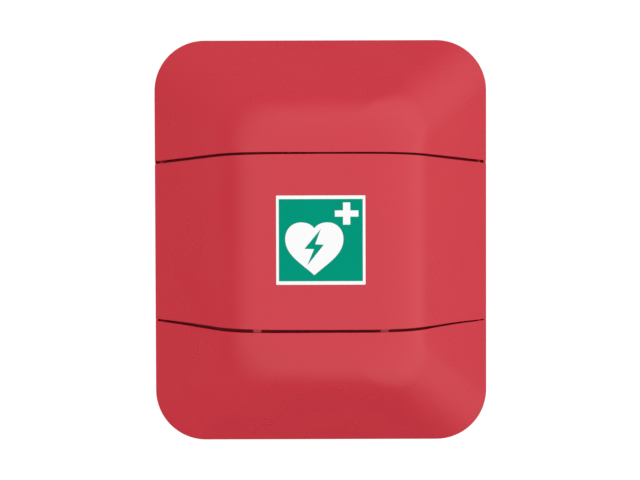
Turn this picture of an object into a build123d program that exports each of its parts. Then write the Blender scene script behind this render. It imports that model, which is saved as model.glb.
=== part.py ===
"""Wall cabinet with an automated external defibrillator (AED) inside.

The cabinet is a shallow moulded box screwed to a wall.  A deep hood, joined from three mouldings,
swings on two pin hinges on the left and is held shut by magnets on the right.  The defibrillator
stands in a steel tray inside; it lifts over the tray's lip, and its buttons, pad cartridge and
battery latch move.

Frame: millimetres, origin on the wall plane at the centre of the wall screws, +Z up, the viewer
stands at -Y.  "Depth" is the distance in front of the wall, so depth d is the plane y = -d.
"""

import os

from build123d import *

# ---------------------------------------------------------------- driving dimensions (mm)
WIDTH, HEIGHT, DEPTH = 424.0, 511.0, 195.0
HALF_W, HALF_H = WIDTH / 2, HEIGHT / 2
CORNER_R = 64.0

# Hood: a straight skirt, slopes from the rim to a flat face, all blended
SKIRT_REAR = 40.0
RIM_DEPTH = 52.0
RIM_FILLET = 2.5
FACE_HALF_W, FACE_HALF_H = 96.5, 147.0
FACE_CORNER_R = 50.0
FACE_BLEND_R = 85.0
HOOD_WALL = 3.0

# Hood joints: three mouldings meet at two shadow gaps
SEAM_Z = 100.0
UPPER_GAP, LOWER_GAP = 2.4, 3.2
FLANGE_THICK = 2.5
FLANGE_INSET = 16.0
FLANGE_START = 56.0
STRIP_INSETS = (6.0, 15.0)
STRIP_SKIRT_INSET = 10.0
TAB_X, TAB_WIDTH = 72.0, 9.0
TAB_INSETS = (2.4, 6.0)
SEAM_SCREW_INSET = 10.5
SIGN_SIDE, SIGN_THICK = 100.0, 0.8

# Wall box
BOX_INSET = 13.0
BOX_DEPTH = 46.0
BOX_WALL = 3.0
BOX_HALF_W, BOX_HALF_H = HALF_W - BOX_INSET, HALF_H - BOX_INSET
BOX_R = CORNER_R - BOX_INSET
SEAL_FRONT = 50.0
SEAL_LIP = 1.2
LAND_GAP = 0.3
WALL_HOLE_X, WALL_HOLE_Z, WALL_HOLE_R = 150.0, 130.0, 3.25

# Hinges
HINGE_X, HINGE_DEPTH = -(BOX_HALF_W + 5.0), 36.0
HINGE_Z = (-150.0, 150.0)
KNUCKLE_R, EAR_LENGTH, EAR_GAP = 4.5, 16.0, 0.3
LEAF_THICK, LEAF_REAR, LEAF_FRONT, LEAF_HALF = 2.0, 8.0, 30.0, 20.0
LEAF_SCREW_DEPTH, LEAF_SCREW_DZ = 18.0, 13.0
PIN_R, PIN_BORE_R = 2.0, 2.05

# Magnet catches
CATCH_X, CATCH_Z = 186.0, (-125.0, 125.0)
CATCH_W, CATCH_H, CATCH_FRONT = 14.0, 34.0, 56.0
CATCH_SEAT = 42.0
CATCH_SCREW_DZ = 12.5
STRIKE_THICK = 1.5

# Steel tray
TRAY_THICK = 2.0
TRAY_BACK = 8.0
TRAY_FRONT = 110.0
TRAY_TOP_Z = -112.0
TRAY_HALF_W, TRAY_PLATE_HALF_W, TRAY_PLATE_TOP = 111.0, 80.0, 92.0
TRAY_LIP = 14.0
TRAY_SCREWS = [(-66.0, 72.0), (66.0, 72.0), (-66.0, -70.0), (66.0, -70.0)]
TRAY_WINDOWS, TRAY_WINDOW_SIZE = [(-34.0, -46.0), (34.0, -46.0), (-34.0, 40.0), (34.0, 40.0)], (44.0, 62.0)
MAT_THICK = 2.0

# Defibrillator
AED_BACK, AED_SPLIT, AED_FRONT = 15.0, 59.0, 104.0
AED_HALF_W, AED_HALF_H, AED_R = 104.5, 89.0, 30.0
BUMPER, BUMPER_HALF_D, BUMPER_TOP_DROP = 2.5, 11.0, 34.0
AED_Z = TRAY_TOP_Z + MAT_THICK + AED_HALF_H + BUMPER
AED_WALL = 2.6
CASE_FILLET = 9.0
AED_TOP = AED_Z + AED_HALF_H
HANDLE_HALF_W, HANDLE_RISE, HANDLE_R = 80.0, 46.0, 26.0
HAND_HALF_W, HAND_RISE, HAND_R = 58.0, 32.0, 14.0
HANDLE_REAR, HANDLE_FRONT = 38.0, 80.0
GRIP_HALF_W, GRIP_THICK = 42.0, 2.2
HANDLE_SCREWS = [(x, -depth) for x in (-69.0, 69.0) for depth in (50.0, 68.0)]
FASCIA_Z, FASCIA_HALF_W, FASCIA_HALF_H, FASCIA_THICK = AED_Z + 27.0, 86.0, 46.0, 1.6
POWER_BUTTON = (-56.0, FASCIA_Z + 24.0, 13.0)
INFO_BUTTON = (-56.0, FASCIA_Z - 24.0, 7.5)
SHOCK_BUTTON = (44.0, FASCIA_Z - 10.0, 21.0)
WINDOW_X, WINDOW_Z, WINDOW_HALF_W, WINDOW_HALF_H = 44.0, FASCIA_Z + 33.0, 17.0, 7.0
RING_WIDTH = 4.0
BUTTON_PROUD, BUTTON_GAP, BUTTON_TRAVEL = 3.0, 0.4, 2.0
BUTTON_FLANGE = 2.0
BOARD_FRONT, BOARD_THICK = 88.0, 1.6
BOARD_HALF_W, BOARD_HALF_H = 78.0, 40.0
CARTRIDGE_X, CARTRIDGE_Z = 30.0, AED_Z - 50.0
CARTRIDGE_HALF_W, CARTRIDGE_HALF_H, CARTRIDGE_R, CARTRIDGE_DEEP = 58.0, 23.0, 6.0, 33.0
POCKET_GAP, POCKET_WALL = 0.4, 2.4
SPEAKER_X, SPEAKER_Z, SPEAKER_R = -64.0, AED_Z - 50.0, 24.0
BATTERY_X, BATTERY_Z = 30.0, AED_Z - 38.0
BATTERY_HALF_W, BATTERY_HALF_H, BATTERY_R, BATTERY_DEEP = 46.0, 32.0, 4.0, 34.0
LATCH_HALF_W, LATCH_HEIGHT, LATCH_TRAVEL = 14.0, 9.0, 3.0
CASE_POSTS = [(side * x, z) for side in (-1, 1) for x, z in ((80.0, 77.0), (94.0, 44.0), (94.0, -18.0))]

# Door alarm
ALARM_X, ALARM_Z, ALARM_HALF_W, ALARM_HALF_H = 134.0, 180.0, 42.0, 27.0
ALARM_BASE_FRONT, ALARM_FRONT, ALARM_WALL = 12.0, 36.0, 2.0
KEY_X, KEY_Z = ALARM_X + 26.0, ALARM_Z - 8.0
LAMP_X, LAMP_Z = ALARM_X + 26.0, ALARM_Z + 14.0
SIREN_X = ALARM_X - 18.0
SENSE_MAGNET_X, SENSE_MAGNET_Z = 118.0, 226.0

parts = {}


def at_depth(depth):
    """Sketch plane parallel to the wall at that depth: x to the right, y up, normal to the viewer."""
    return Plane.XZ.offset(depth)


def plate(half_w, half_h, radius, rear, front, x=0.0, z=0.0):
    """Rounded rectangular block between two depths."""
    with BuildPart() as block:
        with BuildSketch(at_depth(rear)):
            with Locations((x, z)):
                RectangleRounded(2 * half_w, 2 * half_h, radius)
        extrude(amount=front - rear)
    return block.part


def hood_volume(inset, rear=SKIRT_REAR):
    """Everything inside the hood's outer surface moved inwards by `inset`, back to depth `rear`."""
    rise = DEPTH - RIM_DEPTH
    run_w, run_h = (HALF_W - FACE_HALF_W) / rise, (HALF_H - FACE_HALF_H) / rise
    face_half_w = FACE_HALF_W - inset * ((1 + run_w**2) ** 0.5 - run_w)
    face_half_h = FACE_HALF_H - inset * ((1 + run_h**2) ** 0.5 - run_h)
    rim = RIM_DEPTH - 0.345 * inset
    rim_size = (2 * (HALF_W - inset), 2 * (HALF_H - inset), CORNER_R - inset)
    with BuildPart() as volume:
        with BuildSketch(at_depth(rim)):
            RectangleRounded(*rim_size)
        with BuildSketch(at_depth(DEPTH - inset)):
            RectangleRounded(2 * face_half_w, 2 * face_half_h, FACE_CORNER_R - inset / 2)
        loft(ruled=True)
        fillet(volume.faces().sort_by(Axis.Y)[0].edges(), FACE_BLEND_R - inset)
        with BuildSketch(at_depth(rear)):
            RectangleRounded(*rim_size)
        extrude(amount=rim - rear)
        if inset == 0:
            on_rim = volume.edges().filter_by(lambda edge: abs(edge.center().Y + RIM_DEPTH) < 0.01)
            fillet(on_rim, RIM_FILLET)
    return volume.part


def slope_point(half_width, inset):
    """(x, depth) of a point `inset` below the hood's right slope, from its outer half width."""
    rise, run = DEPTH - RIM_DEPTH, HALF_W - FACE_HALF_W
    length = (rise**2 + run**2) ** 0.5
    depth = RIM_DEPTH + (HALF_W - half_width) * rise / run
    return half_width - inset * rise / length, depth - inset * run / length


def drum(x, z, radius, rear, front):
    """Round bar square to the wall between two depths."""
    with BuildPart() as bar:
        with BuildSketch(at_depth(rear)):
            with Locations((x, z)):
                Circle(radius)
        extrude(amount=front - rear)
    return bar.part


def upright(x, depth, radius, low, high):
    """Round bar along Z."""
    with BuildPart() as bar:
        with BuildSketch(Plane.XY.offset(low)):
            with Locations((x, -depth)):
                Circle(radius)
        extrude(amount=high - low)
    return bar.part


def bars_along_x(points, radius, left, right):
    """Round bars along X at those (y, z) places."""
    with BuildPart() as bars:
        with BuildSketch(Plane.YZ.offset(left)):
            with Locations(*points):
                Circle(radius)
        extrude(amount=right - left)
    return bars.part


def brick(x_range, depth_range, z_range):
    """Square-edged block from its three ranges."""
    (x0, x1), (d0, d1), (z0, z1) = x_range, depth_range, z_range
    with BuildPart() as block:
        with Locations(((x0 + x1) / 2, -(d0 + d1) / 2, (z0 + z1) / 2)):
            Box(x1 - x0, d1 - d0, z1 - z0)
    return block.part


def wall_screws(points, seat, reach, shank_r=1.5, head_r=3.0, head_h=1.8, from_behind=False):
    """Cross-head screws square to the wall.  Their heads lie on depth `seat`, and their shanks go
    `reach` deep, away from the viewer, or towards the viewer where they come from behind."""
    way = -1 if from_behind else 1
    with BuildPart() as screws:
        with BuildSketch(at_depth(seat)):
            with Locations(*points):
                Circle(head_r)
        extrude(amount=way * head_h)
        heads = screws.faces().filter_by(Axis.Y).group_by(Axis.Y)[-1 if from_behind else 0]
        fillet(heads.edges(), head_h * 0.45)
        with BuildSketch(at_depth(seat + way * head_h)):
            with Locations(*points):
                Rectangle(head_r * 1.1, head_r * 0.28)
                Rectangle(head_r * 0.28, head_r * 1.1)
        extrude(amount=-way * head_h * 0.55, mode=Mode.SUBTRACT)
        with BuildSketch(at_depth(seat)):
            with Locations(*points):
                Circle(shank_r)
        extrude(amount=-way * reach)
    return screws.part


# ================================================================ hood mouldings
hood_outer = hood_volume(0)
hood_cavity = hood_volume(HOOD_WALL, SKIRT_REAR - 5)
hood_skin = hood_volume(HOOD_WALL / 2)
flange_core = hood_volume(FLANGE_INSET)
strip_outer, strip_inner = hood_volume(STRIP_INSETS[0]), hood_volume(STRIP_INSETS[1])
tab_outer, tab_inner = hood_volume(TAB_INSETS[0]), hood_volume(TAB_INSETS[1])

UPPER_LOW, UPPER_HIGH = SEAM_Z - UPPER_GAP / 2, SEAM_Z + UPPER_GAP / 2
LOWER_LOW, LOWER_HIGH = -SEAM_Z - LOWER_GAP / 2, -SEAM_Z + LOWER_GAP / 2
BEYOND = HALF_H + 10
SEAM_SCREW_POINTS = [(x, DEPTH - SEAM_SCREW_INSET) for x in (-36.0, 36.0)]
SEAM_SCREW_POINTS += [
    (side * slope_point(half_width, SEAM_SCREW_INSET)[0], slope_point(half_width, SEAM_SCREW_INSET)[1])
    for side in (-1, 1)
    for half_width in (140.0, 182.0)
]
SEAM_SCREW_R, SEAM_HOLE_R = 1.5, 1.6

# Shell of even thickness with the sealing land, before it is cut into three mouldings
with BuildPart() as hood_shell:
    add(hood_outer)
    add(hood_cavity, mode=Mode.SUBTRACT)

with BuildPart() as sealing_land:
    with BuildSketch(at_depth(SEAL_FRONT + LAND_GAP)):
        RectangleRounded(2 * BOX_HALF_W, 2 * BOX_HALF_H, BOX_R)
        RectangleRounded(
            2 * (BOX_HALF_W - BOX_WALL), 2 * (BOX_HALF_H - BOX_WALL), BOX_R - BOX_WALL, mode=Mode.SUBTRACT
        )
    extrude(amount=30)
    add(hood_skin, mode=Mode.INTERSECT)

with BuildPart() as hood_whole:
    add(hood_shell.part)
    add(sealing_land.part)

with BuildPart() as flange_ring:
    add(hood_skin)
    add(flange_core, mode=Mode.SUBTRACT)
    add(brick((-HALF_W, HALF_W), (FLANGE_START, DEPTH), (-HALF_H, HALF_H)), mode=Mode.INTERSECT)

seam_holes = [upright(x, depth, SEAM_HOLE_R, -SEAM_Z - 10, SEAM_Z + 10) for x, depth in SEAM_SCREW_POINTS]


def band_of(solid, low, high):
    """The part of `solid` between two heights."""
    with BuildPart() as cut:
        add(solid)
        add(brick((-HALF_W - 5, HALF_W + 5), (0, DEPTH + 5), (low, high)), mode=Mode.INTERSECT)
    return cut.part


def seam_tabs(low, high):
    """Small tabs that bridge a seam just under the surface: two on the face, one at each end."""
    end_x = HALF_W - STRIP_SKIRT_INSET + 1
    with BuildPart() as tabs:
        for x in (-TAB_X, TAB_X):
            half = TAB_WIDTH / 2
            add(brick((x - half, x + half), (DEPTH - 40, DEPTH), (low, high)))
        for x_range in ((-HALF_W, -end_x), (end_x, HALF_W)):
            add(brick(x_range, (SKIRT_REAR + 1, FLANGE_START), (low, high)))
        add(tab_outer, mode=Mode.INTERSECT)
        add(tab_inner, mode=Mode.SUBTRACT)
    return tabs.part


def pin_bores():
    """Bores for both hinge pins, right through all their knuckles."""
    reach = 1.5 * EAR_LENGTH + 5
    with BuildPart() as bores:
        for z_mid in HINGE_Z:
            add(upright(HINGE_X, HINGE_DEPTH, PIN_BORE_R, z_mid - reach, z_mid + reach))
    return bores.part


def boss_under_hood(x, z, half_w, half_h, rear):
    """Block from depth `rear` forwards until it merges with the hood's wall."""
    with BuildPart() as boss:
        add(brick((x - half_w, x + half_w), (rear, DEPTH), (z - half_h, z + half_h)))
        add(hood_skin, mode=Mode.INTERSECT)
    return boss.part


hinge_bores = pin_bores()
STRIKE_SEAT = CATCH_FRONT + 0.4 + STRIKE_THICK
STRIKE_SCREW_DZ = 11.0
catch_bosses = [boss_under_hood(CATCH_X, z, 6.0, 16.0, STRIKE_SEAT) for z in CATCH_Z]
strike_screw_points = [(CATCH_X, z + dz) for z in CATCH_Z for dz in (-STRIKE_SCREW_DZ, STRIKE_SCREW_DZ)]
strike_screw_holes = [drum(x, z, 1.25, STRIKE_SEAT - 3, STRIKE_SEAT + 8) for x, z in strike_screw_points]
SENSE_SEAT, SENSE_R, SENSE_LENGTH = RIM_DEPTH + 2, 4.0, 8.0
sense_boss = boss_under_hood(SENSE_MAGNET_X, SENSE_MAGNET_Z, 7.0, 7.0, SENSE_SEAT)

with BuildPart() as hood_top_cap:
    add(band_of(hood_whole.part, UPPER_HIGH, BEYOND))
    add(band_of(flange_ring.part, UPPER_HIGH, UPPER_HIGH + FLANGE_THICK))
    add(seam_tabs(UPPER_LOW + 0.1, UPPER_HIGH + FLANGE_THICK))
    add(catch_bosses[1])
    add(sense_boss)
    sense_bore = drum(SENSE_MAGNET_X, SENSE_MAGNET_Z, SENSE_R, RIM_DEPTH, SENSE_SEAT + SENSE_LENGTH)
    add(sense_bore, mode=Mode.SUBTRACT)
    for hole in seam_holes + strike_screw_holes:
        add(hole, mode=Mode.SUBTRACT)
parts["hood_top_cap"] = hood_top_cap

with BuildPart() as hood_middle_band:
    add(band_of(hood_whole.part, LOWER_HIGH, UPPER_LOW))
    add(band_of(flange_ring.part, UPPER_LOW - FLANGE_THICK, UPPER_LOW))
    add(band_of(flange_ring.part, LOWER_HIGH, LOWER_HIGH + FLANGE_THICK))
    for hole in seam_holes:
        add(hole, mode=Mode.SUBTRACT)
parts["hood_middle_band"] = hood_middle_band

with BuildPart() as hood_bottom_cap:
    add(band_of(hood_whole.part, -BEYOND, LOWER_LOW))
    add(band_of(flange_ring.part, LOWER_LOW - FLANGE_THICK, LOWER_LOW))
    add(seam_tabs(LOWER_LOW - FLANGE_THICK, LOWER_HIGH - 0.1))
    add(catch_bosses[0])
    for hole in seam_holes + strike_screw_holes:
        add(hole, mode=Mode.SUBTRACT)
parts["hood_bottom_cap"] = hood_bottom_cap

# Rubber strips that fill each seam below the shadow gap
with BuildPart() as strip_ring:
    add(strip_outer)
    add(strip_inner, mode=Mode.SUBTRACT)
    behind = brick(
        (-HALF_W + STRIP_SKIRT_INSET, HALF_W - STRIP_SKIRT_INSET), (0, FLANGE_START), (-HALF_H, HALF_H)
    )
    add(behind, mode=Mode.SUBTRACT)
    for hole in seam_holes:
        add(hole, mode=Mode.SUBTRACT)

with BuildPart() as upper_seam_strip:
    add(band_of(strip_ring.part, UPPER_LOW, UPPER_HIGH))
parts["upper_seam_strip"] = upper_seam_strip

with BuildPart() as lower_seam_strip:
    add(band_of(strip_ring.part, LOWER_LOW, LOWER_HIGH))
parts["lower_seam_strip"] = lower_seam_strip


def seam_fasteners(head_side, head_seat, nut_seat):
    """Pan-head screws and hexagon nuts along one seam.  `head_side` is +1 where the heads are on top."""
    head_h, nut_h, nut_r, tip = 1.8, 2.2, 2.9, 1.0
    with BuildPart() as screws:
        for x, depth in SEAM_SCREW_POINTS:
            low, high = sorted((head_seat, nut_seat - head_side * (nut_h + tip)))
            add(upright(x, depth, SEAM_SCREW_R, low, high))
            low, high = sorted((head_seat, head_seat + head_side * head_h))
            add(upright(x, depth, 2.8, low, high))
    with BuildPart() as nuts:
        with BuildSketch(Plane.XY.offset(nut_seat)):
            with Locations(*[(x, -depth) for x, depth in SEAM_SCREW_POINTS]):
                RegularPolygon(nut_r, 6)
                Circle(SEAM_HOLE_R, mode=Mode.SUBTRACT)
        extrude(amount=-head_side * nut_h)
    return screws.part, nuts.part


upper_set = seam_fasteners(1, UPPER_HIGH + FLANGE_THICK, UPPER_LOW - FLANGE_THICK)
lower_set = seam_fasteners(-1, LOWER_LOW - FLANGE_THICK, LOWER_HIGH + FLANGE_THICK)

with BuildPart() as seam_screws:
    add(upper_set[0])
    add(lower_set[0])
parts["seam_screws"] = seam_screws

with BuildPart() as seam_nuts:
    add(upper_set[1])
    add(lower_set[1])
parts["seam_nuts"] = seam_nuts

# Square sign plate on the flat face
with BuildPart() as safety_sign:
    with BuildSketch(at_depth(DEPTH)):
        RectangleRounded(SIGN_SIDE, SIGN_SIDE, 1.0)
    extrude(amount=SIGN_THICK)
    fillet(safety_sign.faces().sort_by(Axis.Y)[0].edges(), 0.25)
parts["safety_sign"] = safety_sign

# Steel strike plates the magnets hold, and the small magnet the alarm senses
with BuildPart() as strike_plates:
    with BuildSketch(at_depth(STRIKE_SEAT - STRIKE_THICK)):
        with Locations(*[(CATCH_X, z) for z in CATCH_Z]):
            RectangleRounded(12, 32, 2)
        with Locations(*strike_screw_points):
            Circle(1.6, mode=Mode.SUBTRACT)
    extrude(amount=STRIKE_THICK)
parts["strike_plates"] = strike_plates

with BuildPart() as strike_screws:
    add(wall_screws(strike_screw_points, STRIKE_SEAT - STRIKE_THICK, 7, 1.2, 2.4, 1.2, from_behind=True))
parts["strike_screws"] = strike_screws

with BuildPart() as sense_magnet:
    add(drum(SENSE_MAGNET_X, SENSE_MAGNET_Z, SENSE_R - 0.05, SENSE_SEAT + 0.2, SENSE_SEAT + SENSE_LENGTH))
    chamfer(sense_magnet.edges().group_by(Axis.Y)[-1], 0.5)
parts["sense_magnet"] = sense_magnet

# ================================================================ wall box
RIB_HEIGHT, RIB_THICK = 2.0, 2.0
LEVEL_RIBS, LEVEL_RIB_REACH = (-215.0, -160.0, 110.0, 140.0), (-84.0, 84.0)
UPRIGHT_RIBS, UPRIGHT_RIB_REACH = (-120.0, 120.0), (-200.0, 100.0)
DRAIN_SLOTS, DRAIN_HALF_W, DRAIN_DEPTHS = (-60.0, -30.0, 0.0, 30.0, 60.0), 9.0, (14.0, 20.0)
LEAF_SCREWS = [(-LEAF_SCREW_DEPTH, z + dz) for z in HINGE_Z for dz in (-LEAF_SCREW_DZ, LEAF_SCREW_DZ)]
BOSS_R = 10.0
CATCH_GUSSET_HALF_H = 19.0
TRAY_BOSS_R = 6.0
TRAY_SCREW_R, TRAY_HOLE_R = 1.7, 1.8

with BuildPart() as back_box:
    with BuildSketch(at_depth(0)):
        RectangleRounded(2 * BOX_HALF_W, 2 * BOX_HALF_H, BOX_R)
    extrude(amount=BOX_DEPTH)
    fillet(back_box.faces().sort_by(Axis.Y)[-1].edges(), 2.0)
    with BuildSketch(at_depth(BOX_WALL)):
        RectangleRounded(2 * (BOX_HALF_W - BOX_WALL), 2 * (BOX_HALF_H - BOX_WALL), BOX_R - BOX_WALL)
    extrude(amount=BOX_DEPTH - BOX_WALL, mode=Mode.SUBTRACT)
    # stiffening ribs on the back wall
    rib_depths = (BOX_WALL - 1, BOX_WALL + RIB_HEIGHT)
    for z in LEVEL_RIBS:
        add(brick(LEVEL_RIB_REACH, rib_depths, (z - RIB_THICK / 2, z + RIB_THICK / 2)))
    for x in UPRIGHT_RIBS:
        add(brick((x - RIB_THICK / 2, x + RIB_THICK / 2), rib_depths, UPRIGHT_RIB_REACH))
    # raised pads round the wall screws, and posts for the tray
    with BuildSketch(at_depth(BOX_WALL - 1)):
        with GridLocations(2 * WALL_HOLE_X, 2 * WALL_HOLE_Z, 2, 2):
            Circle(BOSS_R)
    extrude(amount=4)
    with BuildSketch(at_depth(BOX_WALL - 1)):
        with Locations(*TRAY_SCREWS):
            Circle(TRAY_BOSS_R)
    extrude(amount=TRAY_BACK - BOX_WALL + 1)
    # gussets that carry the magnet catches
    for z in CATCH_Z:
        inner = CATCH_X - CATCH_W / 2
        span = (z - CATCH_GUSSET_HALF_H, z + CATCH_GUSSET_HALF_H)
        add(brick((inner, BOX_HALF_W - 1), (BOX_WALL - 1, CATCH_SEAT), span))
    # pads inside the left wall for the hinge screws
    for z in HINGE_Z:
        inner = -BOX_HALF_W + BOX_WALL
        add(brick((inner - 1, inner + 6), (BOX_WALL - 1, LEAF_FRONT), (z - LEAF_HALF, z + LEAF_HALF)))
    # wall screw holes, tray screw holes, catch screw holes, drain slots
    with BuildSketch(at_depth(-1)):
        with GridLocations(2 * WALL_HOLE_X, 2 * WALL_HOLE_Z, 2, 2):
            Circle(WALL_HOLE_R)
    extrude(amount=12, mode=Mode.SUBTRACT)
    for x, z in TRAY_SCREWS:
        add(drum(x, z, TRAY_HOLE_R, 1.2, TRAY_BACK + 1), mode=Mode.SUBTRACT)
    for z in CATCH_Z:
        for dz in (-CATCH_SCREW_DZ, CATCH_SCREW_DZ):
            add(drum(CATCH_X, z + dz, 1.6, CATCH_SEAT - 16, CATCH_SEAT + 1), mode=Mode.SUBTRACT)
    add(bars_along_x(LEAF_SCREWS, 1.6, -BOX_HALF_W - 1, -BOX_HALF_W + 8.5), mode=Mode.SUBTRACT)
    through_foot = (-BOX_HALF_H - 1, -BOX_HALF_H + BOX_WALL + 1)
    for x in DRAIN_SLOTS:
        slot = brick((x - DRAIN_HALF_W, x + DRAIN_HALF_W), DRAIN_DEPTHS, through_foot)
        add(slot, mode=Mode.SUBTRACT)
parts["back_box"] = back_box

with BuildPart() as box_seal:
    lip_w, lip_h = BOX_HALF_W + SEAL_LIP, BOX_HALF_H + SEAL_LIP
    with BuildSketch(at_depth(BOX_DEPTH - 4)):
        RectangleRounded(2 * lip_w, 2 * lip_h, BOX_R + SEAL_LIP)
        band = 2 * SEAL_LIP + BOX_WALL
        RectangleRounded(
            2 * (lip_w - band), 2 * (lip_h - band), BOX_R + SEAL_LIP - band, mode=Mode.SUBTRACT
        )
    extrude(amount=SEAL_FRONT - BOX_DEPTH + 4)
    fillet(box_seal.faces().sort_by(Axis.Y)[0].edges(), 1.6)
    with BuildSketch(at_depth(0)):
        RectangleRounded(2 * BOX_HALF_W, 2 * BOX_HALF_H, BOX_R)
        RectangleRounded(
            2 * (BOX_HALF_W - BOX_WALL), 2 * (BOX_HALF_H - BOX_WALL), BOX_R - BOX_WALL, mode=Mode.SUBTRACT
        )
    extrude(amount=BOX_DEPTH, mode=Mode.SUBTRACT)
    # room for the catch gussets
    for z in CATCH_Z:
        add(
            brick((CATCH_X - 9, BOX_HALF_W - BOX_WALL), (30, CATCH_SEAT + 0.2), (z - 20, z + 20)),
            mode=Mode.SUBTRACT,
        )
parts["box_seal"] = box_seal

# Hinge leaves: one knuckle on each box leaf, held by two screws, between two on each hood leaf
with BuildPart() as box_hinge_leaves:
    for z_mid in HINGE_Z:
        knuckle = (z_mid - EAR_LENGTH / 2, z_mid + EAR_LENGTH / 2)
        add(upright(HINGE_X, HINGE_DEPTH, KNUCKLE_R, *knuckle))
        add(brick((HINGE_X, -BOX_HALF_W), (LEAF_FRONT - 1, HINGE_DEPTH + 3.5), knuckle))
        leaf_x = (-BOX_HALF_W - LEAF_THICK, -BOX_HALF_W)
        add(brick(leaf_x, (LEAF_REAR, LEAF_FRONT), (z_mid - LEAF_HALF, z_mid + LEAF_HALF)))
    add(hinge_bores, mode=Mode.SUBTRACT)
    add(bars_along_x(LEAF_SCREWS, 1.8, -BOX_HALF_W - 10, -BOX_HALF_W + 1), mode=Mode.SUBTRACT)
parts["box_hinge_leaves"] = box_hinge_leaves

with BuildPart() as hood_hinge_leaves:
    inner_end, outer_end = EAR_LENGTH / 2 + EAR_GAP, 1.5 * EAR_LENGTH + EAR_GAP
    skirt_x, leaf_front = -HALF_W + HOOD_WALL, HINGE_DEPTH + 14
    for z_mid in HINGE_Z:
        for low, high in ((inner_end, outer_end), (-outer_end, -inner_end)):
            knuckle = (z_mid + low, z_mid + high)
            add(upright(HINGE_X, HINGE_DEPTH, KNUCKLE_R, *knuckle))
            add(brick((skirt_x, HINGE_X), (HINGE_DEPTH, leaf_front), knuckle))
        bridge = (z_mid - inner_end, z_mid + inner_end)
        add(brick((skirt_x, HINGE_X - 2), (HINGE_DEPTH + 7, leaf_front), bridge))
    add(hinge_bores, mode=Mode.SUBTRACT)
parts["hood_hinge_leaves"] = hood_hinge_leaves

with BuildPart() as hinge_screws:
    add(bars_along_x(LEAF_SCREWS, 3.0, -BOX_HALF_W - LEAF_THICK - 1.6, -BOX_HALF_W - LEAF_THICK))
    fillet(hinge_screws.edges().group_by(Axis.X)[0], 0.7)
    add(bars_along_x(LEAF_SCREWS, 1.5, -BOX_HALF_W - LEAF_THICK - 1, -BOX_HALF_W + 8))
parts["hinge_screws"] = hinge_screws

# Hinge pins with a head on top and a spring clip below
with BuildPart() as hinge_pins:
    reach = 1.5 * EAR_LENGTH + EAR_GAP
    for z_mid in HINGE_Z:
        add(upright(HINGE_X, HINGE_DEPTH, PIN_R, z_mid - reach - 2.4, z_mid + reach + 1.0))
        add(upright(HINGE_X, HINGE_DEPTH, 3.4, z_mid + reach + 0.3, z_mid + reach + 1.9))
parts["hinge_pins"] = hinge_pins

with BuildPart() as hinge_clips:
    for z_mid in HINGE_Z:
        with BuildSketch(Plane.XY.offset(z_mid - reach - 1.5)):
            with Locations((HINGE_X, -HINGE_DEPTH)):
                Circle(3.6)
                Circle(PIN_R + 0.05, mode=Mode.SUBTRACT)
                with Locations((0, 2.6)):
                    Rectangle(1.6, 3.0, mode=Mode.SUBTRACT)
        extrude(amount=0.9)
parts["hinge_clips"] = hinge_clips

# Magnet catches on the gussets
catch_screw_points = [(CATCH_X, z + dz) for z in CATCH_Z for dz in (-CATCH_SCREW_DZ, CATCH_SCREW_DZ)]
MAGNET_HALF_W, MAGNET_HALF_H, MAGNET_PROUD = 4.0, 7.5, 1.6

with BuildPart() as catch_housings:
    with BuildSketch(at_depth(CATCH_SEAT)):
        with Locations(*[(CATCH_X, z) for z in CATCH_Z]):
            RectangleRounded(CATCH_W - 1, CATCH_H, 3)
    extrude(amount=CATCH_FRONT - CATCH_SEAT - MAGNET_PROUD)
    fillet(catch_housings.faces().sort_by(Axis.Y)[:2].edges(), 1.0)
    with BuildSketch(at_depth(CATCH_FRONT)):
        with Locations(*[(CATCH_X, z) for z in CATCH_Z]):
            Rectangle(2 * MAGNET_HALF_W + 0.2, 2 * MAGNET_HALF_H + 0.2)
    extrude(amount=-11, mode=Mode.SUBTRACT)
    with BuildSketch(at_depth(CATCH_SEAT)):
        with Locations(*catch_screw_points):
            Circle(1.7)
    extrude(amount=20, mode=Mode.SUBTRACT)
    with BuildSketch(at_depth(CATCH_SEAT + 8)):
        with Locations(*catch_screw_points):
            Circle(3.3)
    extrude(amount=20, mode=Mode.SUBTRACT)
parts["catch_housings"] = catch_housings

with BuildPart() as catch_magnets:
    with BuildSketch(at_depth(CATCH_FRONT - 11)):
        with Locations(*[(CATCH_X, z) for z in CATCH_Z]):
            Rectangle(2 * MAGNET_HALF_W, 2 * MAGNET_HALF_H)
    extrude(amount=11)
    chamfer(catch_magnets.faces().sort_by(Axis.Y)[:2].edges(), 0.4)
parts["catch_magnets"] = catch_magnets

with BuildPart() as catch_screws:
    add(wall_screws(catch_screw_points, CATCH_SEAT + 8, 20, 1.5, 2.9, 1.8))
parts["catch_screws"] = catch_screws

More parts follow.
